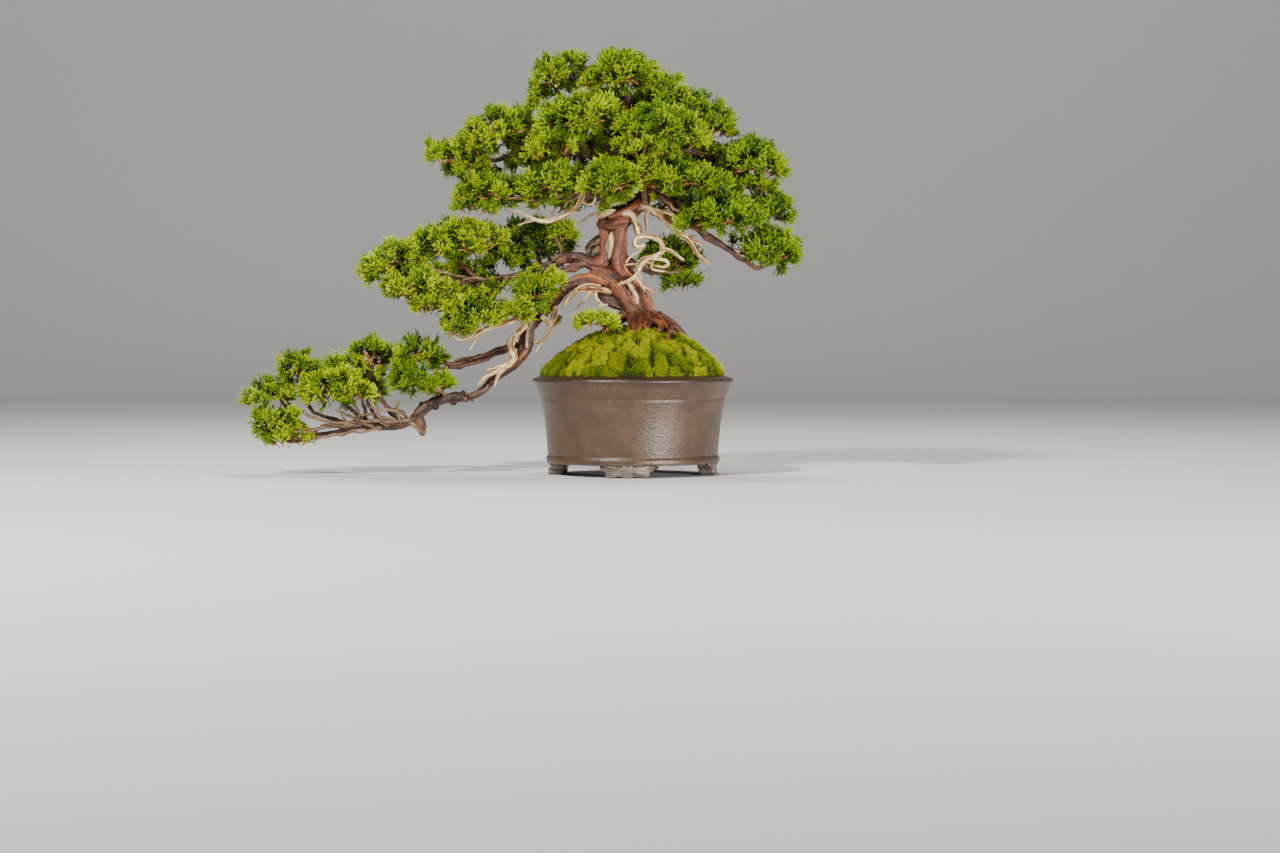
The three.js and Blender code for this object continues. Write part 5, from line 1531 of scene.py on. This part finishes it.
def grow_twigs(twigs, material):
    """The orange twigs that carry the tufts: from each cloud's branch to forks, then to tufts."""
    parts, ages = [], []

    def add(limb, old, young):
        parts.append(closed_tube(limb, limb.radius, TWIG_SIDES))
        share = np.linspace(old, young, len(limb.along))
        ages.append(np.concatenate([np.repeat(share, TWIG_SIDES), [old, young]]))

    for feed, feet, random in twigs:
        feet = [foot for foot in feet if foot[2] > feed[2] - TWIG_DROP]
        feet = sorted(feet, key=lambda p: math.atan2(p[1] - feed[1], p[0] - feed[0]))
        for i in range(0, len(feet), TWIG_GROUP):
            group = feet[i:i + TWIG_GROUP]
            fork = FORK_PLACE * np.mean(group, axis=0) + (1 - FORK_PLACE) * feed
            add(twig(random, feed, fork, 1.7, 1.2, 0.06), 0.6, 0.2)
            for foot in group:
                add(twig(random, fork, foot, 1.05, 0.8, 0.03), 0.2, 0.0)
    points, *faces = stack(parts)
    obj = make_mesh("twigs", place(points), faces)
    set_layers(obj, age=np.concatenate(ages))
    finish_piece(obj, material, "trunk_and_branches")


# ---- Moss and soil ------------------------------------------------------------------------


def mound_reach(turn):
    """How far from the peak the pot's lip lies in each direction."""
    along = MOUND_X * np.cos(turn)
    return -along + np.sqrt(along**2 - MOUND_X**2 + MOUND_REACH**2)


def mound_height(x, y):
    """The mound's height: a dome, settled a little at the right and dropping at the lip."""
    turn = np.arctan2(y, x - MOUND_X)
    share = np.hypot(x - MOUND_X, y) / mound_reach(turn)
    inner = np.minimum(share, 1)
    over = np.clip((share - 0.97) / (MOSS_OUTER - 0.97), 0, 1)
    dip = MOUND_DIP * 4 * inner * (1 - inner) * np.clip(np.cos(turn), 0, 1)
    rise = (MOUND_TOP - MOUND_RIM) * (1 - inner**MOUND_ROUND)
    return MOUND_RIM + rise - dip - MOSS_LIP_DROP * over**2


def cushions(x, y):
    """For each place: how far inside its cushion it lies, 0 in a crack, and the cushion's tone."""
    random = np.random.default_rng(515)
    steps = np.arange(-140, 141, CUSHION)
    seeds = np.stack(np.meshgrid(steps, steps), axis=-1).reshape(-1, 2)
    seeds = seeds + random.uniform(-0.42, 0.42, seeds.shape) * CUSHION
    tones = random.uniform(0.15, 1, len(seeds))
    flat = np.stack([np.ravel(x), np.ravel(y), np.zeros(np.size(x))], axis=1)
    bend = np.stack([fractal(flat / 14, 3, 61), fractal(flat / 14, 3, 65)], axis=1)
    spots = flat[:, :2] + bend * CUSHION_BEND
    inside, tone = np.empty(len(flat)), np.empty(len(flat))
    for i in range(0, len(flat), BLOCK):
        part = slice(i, i + BLOCK)
        away = np.linalg.norm(spots[part, None] - seeds[None], axis=2)
        two = np.partition(away, 1, axis=1)
        inside[part] = np.clip((two[:, 1] - two[:, 0]) / CUSHION_EDGE, 0, 1)
        tone[part] = tones[away.argmin(axis=1)]
    return inside.reshape(np.shape(x)), tone.reshape(np.shape(x))


def moss_points(start, end, out, across):
    """Points of a patch of moss at shares out from the peak and across between its turns."""
    middle = mound_reach(math.radians((start + end) / 2))
    crack = np.degrees(MOSS_CRACK / (2 * out * middle))
    degrees = start + crack + (end - start - 2 * crack) * across
    turn = np.radians(degrees + PATCH_WAVE * np.sin(8 * out))
    away = out * mound_reach(turn)
    x = MOUND_X + away * np.cos(turn)
    y = away * np.sin(turn)
    flat = np.stack([x, y, np.zeros_like(x)], axis=-1).reshape(-1, 3)
    inside, tone = cushions(x, y)
    # Long swells, then small ones and the cushions, all lower round the trunk.
    lump = 1.6 * np.sin(x / 13 + 1.3 * np.sin(y / 17)) * np.sin(y / 12)
    lump = lump + (1.5 * fractal(flat / 6, 3, 31)).reshape(x.shape) + CUSHION_RISE * inside**0.6
    from_trunk = (np.hypot(x - TRUNK_FOOT, y) - TRUNK_CLEAR) / TRUNK_NEAR
    lump = lump - TRUNK_SINK * (1 - np.clip(from_trunk, 0, 1))
    sides = np.minimum(across, 1 - across) * 14
    ends = np.minimum(out - MOSS_INNER, MOSS_OUTER - out) * 22
    fall = (1 - np.clip(np.minimum(sides, ends), 0, 1)) ** 2
    z = mound_height(x, y) + (lump - MOSS_SINK) * (1 - fall) - MOSS_SINK * fall
    tone = np.clip(tone + 0.5 * fractal(flat / 24, 3, 83).reshape(x.shape), 0.02, 0.95)
    return np.stack([x, y, z], axis=-1), inside, tone


def blades(roots, ways, lengths, tones, width, low, high):
    """Three-sided blades: points, faces and map places, from low at the root to high."""
    side = unit(np.cross(ways, [0.3, 0.8, 0.5]))
    other = np.cross(ways, side)
    corners = np.stack([
        roots + side * width,
        roots + (-0.5 * side + 0.87 * other) * width,
        roots + (-0.5 * side - 0.87 * other) * width,
        roots + ways * lengths[:, None],
    ], axis=1)
    faces = (POINTED_FACES[None] + 4 * np.arange(len(roots))[:, None, None]).reshape(-1, 3)
    places = np.zeros((len(roots), 4, 2))
    places[..., 0] = tones[:, None] + np.array([0, 0.01, 0.02, 0.01])
    places[:, :3, 1] = low[:, None]
    places[:, 3, 1] = high
    return corners.reshape(-1, 3), faces, places.reshape(-1, 2)


def moss_body(start, end):
    """A patch's closed body: its cushioned top, its underside and the skirt between."""
    rows, columns = MOSS_GRID
    out, across = np.meshgrid(
        np.linspace(MOSS_INNER, MOSS_OUTER, rows), np.linspace(0, 1, columns), indexing="ij"
    )
    top, inside, tone = moss_points(start, end, out, across)
    below = top.copy()
    drop = np.clip((MOSS_OUTER - out) / 0.12, 0.1, 1)
    below[..., 2] -= MOSS_THICK * drop + 0.5
    points = np.vstack([top.reshape(-1, 3), below.reshape(-1, 3)])
    i, j = np.meshgrid(np.arange(rows - 1), np.arange(columns - 1), indexing="ij")
    a = (i * columns + j).ravel()
    sheet = np.stack([a, a + columns, a + columns + 1, a + 1], axis=1)
    under = sheet[:, ::-1] + rows * columns
    loop = np.concatenate([
        np.arange(columns), np.arange(1, rows) * columns + columns - 1,
        (rows - 1) * columns + np.arange(columns - 2, -1, -1), np.arange(rows - 2, 0, -1) * columns,
    ])
    following = np.roll(loop, -1)
    skirt = np.stack([loop, following, following + rows * columns, loop + rows * columns], axis=1)
    tint = np.clip(tone.ravel(), 0.02, 0.9)
    # Painted shade: darker towards the cracks between cushions, and darkest on the underside.
    high = np.stack([tint, 0.04 + 0.36 * inside.ravel() ** 1.5], axis=1)
    low = np.stack([tint, np.full(len(tint), 0.02)], axis=1)
    return points, np.vstack([sheet, under, skirt]), np.vstack([high, low])


def moss_tufts(start, end, random):
    """Tufts of blades over a patch, with a few long hairs."""
    area = math.radians(end - start) * 0.5 * mound_reach(math.radians((start + end) / 2)) ** 2
    count = int(area / TUFT_AREA)
    out = np.sqrt(random.uniform((MOSS_INNER + 0.01) ** 2, (MOSS_OUTER - 0.005) ** 2, count))
    lip = random.uniform(LIP_FROM, MOSS_OUTER - 0.003, count // 4)
    out = np.concatenate([out, lip])
    base, inside, tone = moss_points(start, end, out, random.uniform(0.005, 0.995, len(out)))
    kept = random.uniform(0, 1, len(out)) < 0.15 + 0.9 * inside
    base, inside, tone = base[kept], inside[kept], tone[kept]
    away = (base - [MOUND_X, 0, 110]) / 95
    shape = (len(base), TUFT_BLADES, 3)
    way = random.normal(0, 0.42, shape) + [0, 0, 0.8] + away[:, None] * 0.55
    way = unit(way).reshape(-1, 3)
    root = (base[:, None] + random.normal(0, 0.8, shape) * [1, 1, 0.2]).reshape(-1, 3)
    tints = np.repeat(tone * 0.9 + random.normal(0, 0.09, len(base)), TUFT_BLADES)
    tints = np.clip(tints + random.normal(0, 0.08, len(tints)), 0.02, 0.95)
    reach = random.uniform(*BLADE_LENGTHS, len(root))
    # painted shade: blades nearer a crack are darker all along
    high = np.clip(0.34 + 0.7 * np.repeat(inside, TUFT_BLADES), 0, 0.97)
    tufts = blades(root - way * 0.6, way, reach, tints, BLADE_WIDTH, 0.45 * high, high)
    chosen = random.integers(0, len(base), HAIRS)
    way = unit(random.normal(0, 0.3, (HAIRS, 3)) + [0, 0, 0.8] + away[chosen] * 0.6)
    hairs = blades(
        base[chosen], way, random.uniform(*HAIR_LENGTHS, HAIRS), np.full(HAIRS, 0.93),
        HAIR_WIDTH, np.full(HAIRS, 0.9), 0.97,
    )
    return tufts, hairs


def moss_patch(number, start, end, material):
    """A patch of moss: its smooth body with the blades standing on it."""
    random = np.random.default_rng(600 + number)
    body, quads, body_places = moss_body(start, end)
    tufts, triangles, tuft_places = stack(moss_tufts(start, end, random), (1,))
    points = place(np.vstack([body, tufts]))
    obj = make_mesh(f"moss_cover_{number}", points, [quads, triangles + len(body)], False)
    smooth = np.arange(len(obj.data.polygons)) < len(quads)
    obj.data.polygons.foreach_set("use_smooth", smooth)
    set_map(obj, np.vstack([body_places, tuft_places]))
    finish_piece(obj, material, f"moss_{number}")


# ---- Pot ----------------------------------------------------------------------------------


def rounded(profile, reach=1.6, steps=4):
    """A profile with each corner rounded over a short reach."""
    points = np.asarray(profile, float)
    result = [points[0]]
    for before, corner, after in zip(points, points[1:], points[2:]):
        back, on = before - corner, after - corner
        pull = min(reach, 0.42 * np.linalg.norm(back), 0.42 * np.linalg.norm(on))
        a, b = corner + unit(back) * pull, corner + unit(on) * pull
        for t in np.linspace(0, 1, steps):
            result.append((1 - t) ** 2 * a + 2 * t * (1 - t) * corner + t * t * b)
    result.append(points[-1])
    return np.array(result)


def dense(profile, longest=3.0):
    """The same profile with long stretches divided."""
    result = [profile[0]]
    for a, b in zip(profile, profile[1:]):
        count = max(1, int(np.linalg.norm(b - a) / longest))
        result += [a + (b - a) * (i + 1) / count for i in range(count)]
    return np.array(result)


def incised(wall, depth):
    """The wall with the line cut into it."""
    cut = wall.copy()
    cut[:, 0] -= depth * np.exp(-(((wall[:, 1] - LINE_HEIGHT) / LINE_WIDTH) ** 2))
    return cut


def pot_profile():
    """Outside with its flare as one smooth curve and the incised line, then inside."""
    flare, _ = smooth_curve([[r, 0, z] for r, z in POT_OUTSIDE[4:8]], 10)
    wall = incised(flare[:, [0, 2]], LINE_DEPTHS[0])
    outside = rounded(POT_OUTSIDE[:5], 1.2)[:-1]
    rim = rounded([wall[-1], *POT_OUTSIDE[8:], *POT_INSIDE[:2]], 1.4)[1:-1]
    inside = rounded([POT_INSIDE[0], *POT_INSIDE[1:], [18, 27]], 3)[4:]
    fine = incised(dense(wall, 1.2), LINE_DEPTHS[1])
    profile = np.vstack([dense(outside), fine, rim, dense(inside, 6), [[18, 16]]])
    keep = np.concatenate([[True], np.linalg.norm(np.diff(profile, axis=0), axis=1) > 1e-3])
    return profile[keep]


def foot(turn):
    """A bracket foot: a lobed outline bent to the pot's curve, with a carved and worn face."""
    half = rounded(FOOT_HALF, 1.8, 4)
    other = half[::-1] * [-1, 1]
    shape = dense(np.vstack([half, other, half[:1]]), 2.5)[:-1]
    depths = np.linspace(-FOOT_INWARD, FOOT_DEPTH, 10)
    layers = []
    for depth in depths:
        edge = min(depth - depths[0], depths[-1] - depth) / 3.5
        shrink = 1.8 * (1 - min(edge, 1)) ** 2
        x = shape[:, 0] * (1 - shrink / 37)
        z = 9 + (shape[:, 1] - 9) * (1 - shrink / 12)
        lobe = np.cos(2 * math.pi * x / FOOT_LOBE)
        worn = fractal(np.stack([x / 7, 0 * x + depth / 7, z / 7], axis=1), 2, 71)
        radius = FOOT_RADIUS + depth - (1.5 * (1 - lobe) - 0.8 * worn - 0.8) * (depth > 0)
        bend = x / (FOOT_RADIUS + FOOT_DEPTH / 2)
        lift = np.where(z < 4, 1.1 * (1 - lobe) * (np.abs(x) < 22), 0)
        z = np.clip(z + lift + 0.5 * worn, 0, 17)
        layers.append(np.stack([radius * np.sin(bend), -radius * np.cos(bend), z], axis=1))
    rings = np.vstack(layers)
    ends = np.array([layers[0].mean(axis=0), layers[-1].mean(axis=0)])
    quads, triangles = ring_faces(len(layers), len(shape))
    c, s = math.cos(turn), math.sin(turn)
    spun = np.vstack([rings, ends]) @ np.array([[c, s, 0], [-s, c, 0], [0, 0, 1]])
    return spun, quads[:, ::-1], triangles[:, ::-1]


def pot(material):
    """The turned pot, a little uneven from the hand, and its four feet."""
    profile = pot_profile()
    turn = around(POT_SIDES)[None]
    radius, height = profile[:, :1] * np.ones(turn.shape), profile[:, 1:] * np.ones(turn.shape)
    turn = turn * np.ones(radius.shape)
    at = np.stack([np.cos(turn) * 1.6, np.sin(turn) * 1.6, height / 45], axis=-1)
    radius = radius + 0.5 * noise(at.reshape(-1, 3), 5).reshape(radius.shape)
    points = np.stack([radius * np.cos(turn), radius * np.sin(turn), height], axis=-1)
    rows = len(profile)
    a = np.arange(rows)[:, None] * POT_SIDES + np.arange(POT_SIDES)[None]
    b = np.arange(rows)[:, None] * POT_SIDES + (np.arange(POT_SIDES)[None] + 1) % POT_SIDES
    c, d = np.roll(b, -1, axis=0), np.roll(a, -1, axis=0)
    walls = np.stack([a, b, c, d], axis=-1).reshape(-1, 4)
    parts = [(points.reshape(-1, 3), walls, np.zeros((0, 3), int))]
    parts += [foot(k * math.pi / 2 + FOOT_TURN) for k in range(4)]
    points, *faces = stack(parts)
    obj = make_mesh("pot_body", place(points), faces)
    finish_piece(obj, material, "pot")


# ---- Stage, light and camera --------------------------------------------------------------


def stage():
    """A plain floor that bends up into a backdrop."""
    back = FLOOR_SIZE * FLOOR_BACK
    profile = [[-FLOOR_SIZE, 0.0]] + [
        [back + FLOOR_BEND * math.sin(t), FLOOR_BEND - FLOOR_BEND * math.cos(t)]
        for t in np.linspace(0, math.pi / 2, FLOOR_STEPS)
    ] + [[back + FLOOR_BEND, FLOOR_HEIGHT]]
    points, quads = [], []
    for i, (y, z) in enumerate(profile):
        points += [[-FLOOR_SIZE, y, z], [FLOOR_SIZE, y, z]]
        if i:
            k = 2 * i
            quads.append([k - 2, k - 1, k + 1, k])
    floor = make_mesh("floor", np.array(points), [np.array(quads)])
    s = Shader("floor", 0.85, 0.2)
    s.surface.inputs["Base Color"].default_value = FLOOR_COLOUR
    floor.data.materials.append(s.material)


def lights():
    """Disk lights turned to the tree, and an even white sky."""
    for name, (at, size, power, colour) in LIGHTS.items():
        data = bpy.data.lights.new(name, "AREA")
        data.shape = "DISK"
        data.size = size
        data.energy = power
        data.color = colour
        obj = add_object(name, data)
        obj.location = at
        way = Vector(LIT_POINT) - Vector(at)
        obj.rotation_euler = way.to_track_quat("-Z", "Y").to_euler()
    world = bpy.data.worlds.new("studio")
    world.use_nodes = True
    sky = world.node_tree.nodes["Background"].inputs
    sky["Color"].default_value = (1, 1, 1, 1)
    sky["Strength"].default_value = SKY_STRENGTH
    bpy.context.scene.world = world


def camera():
    data = bpy.data.cameras.new("camera")
    data.sensor_width = SENSOR
    data.lens = SENSOR * FOCAL_PX / FRAME_WIDTH_PX
    obj = add_object("camera", data)
    obj.location = place([CAMERA_RIGHT, -CAMERA_BACK, CAMERA_HEIGHT])
    obj.rotation_euler = (math.pi / 2 - CAMERA_PITCH, 0, 0)
    bpy.context.scene.camera = obj


# ---- Putting it together ------------------------------------------------------------------


def build():
    camera()
    bark = bark_material()
    living_wood(bark)
    limbs_and_branchlets(bark)
    bleached = deadwood_material()
    for name, strands in DEADWOOD.items():
        deadwood(name, strands, bleached)
    metal = wire_material()
    for name, (spec, start, end, turns, turn) in WIRES.items():
        wire(name, spec, start, end, turns, turn, metal)
    pot(stoneware_material())
    moss = moss_material()
    for i, (start, end) in enumerate(zip(MOSS_EDGES, MOSS_EDGES[1:])):
        moss_patch(i + 1, start, end, moss)
    leaf = foliage_material()
    fans = [make_fan(RNG, SPURS) for _ in range(FAN_KINDS)]
    fans += [make_fan(RNG, 0) for _ in range(INNER_KINDS)]
    twigs = []
    sprigs = sprigs_on_limbs()
    for name, cloud in CLOUDS.items():
        foliage_cloud(name, cloud, fans, leaf, twigs, sprigs[name])
    grow_twigs(twigs, twig_material())
    for node, material in (("soil", soil_material()), ("drain_screen", screen_material())):
        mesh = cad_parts[node].data
        mesh.materials.clear()
        mesh.materials.append(material)
    stage()
    lights()


build()
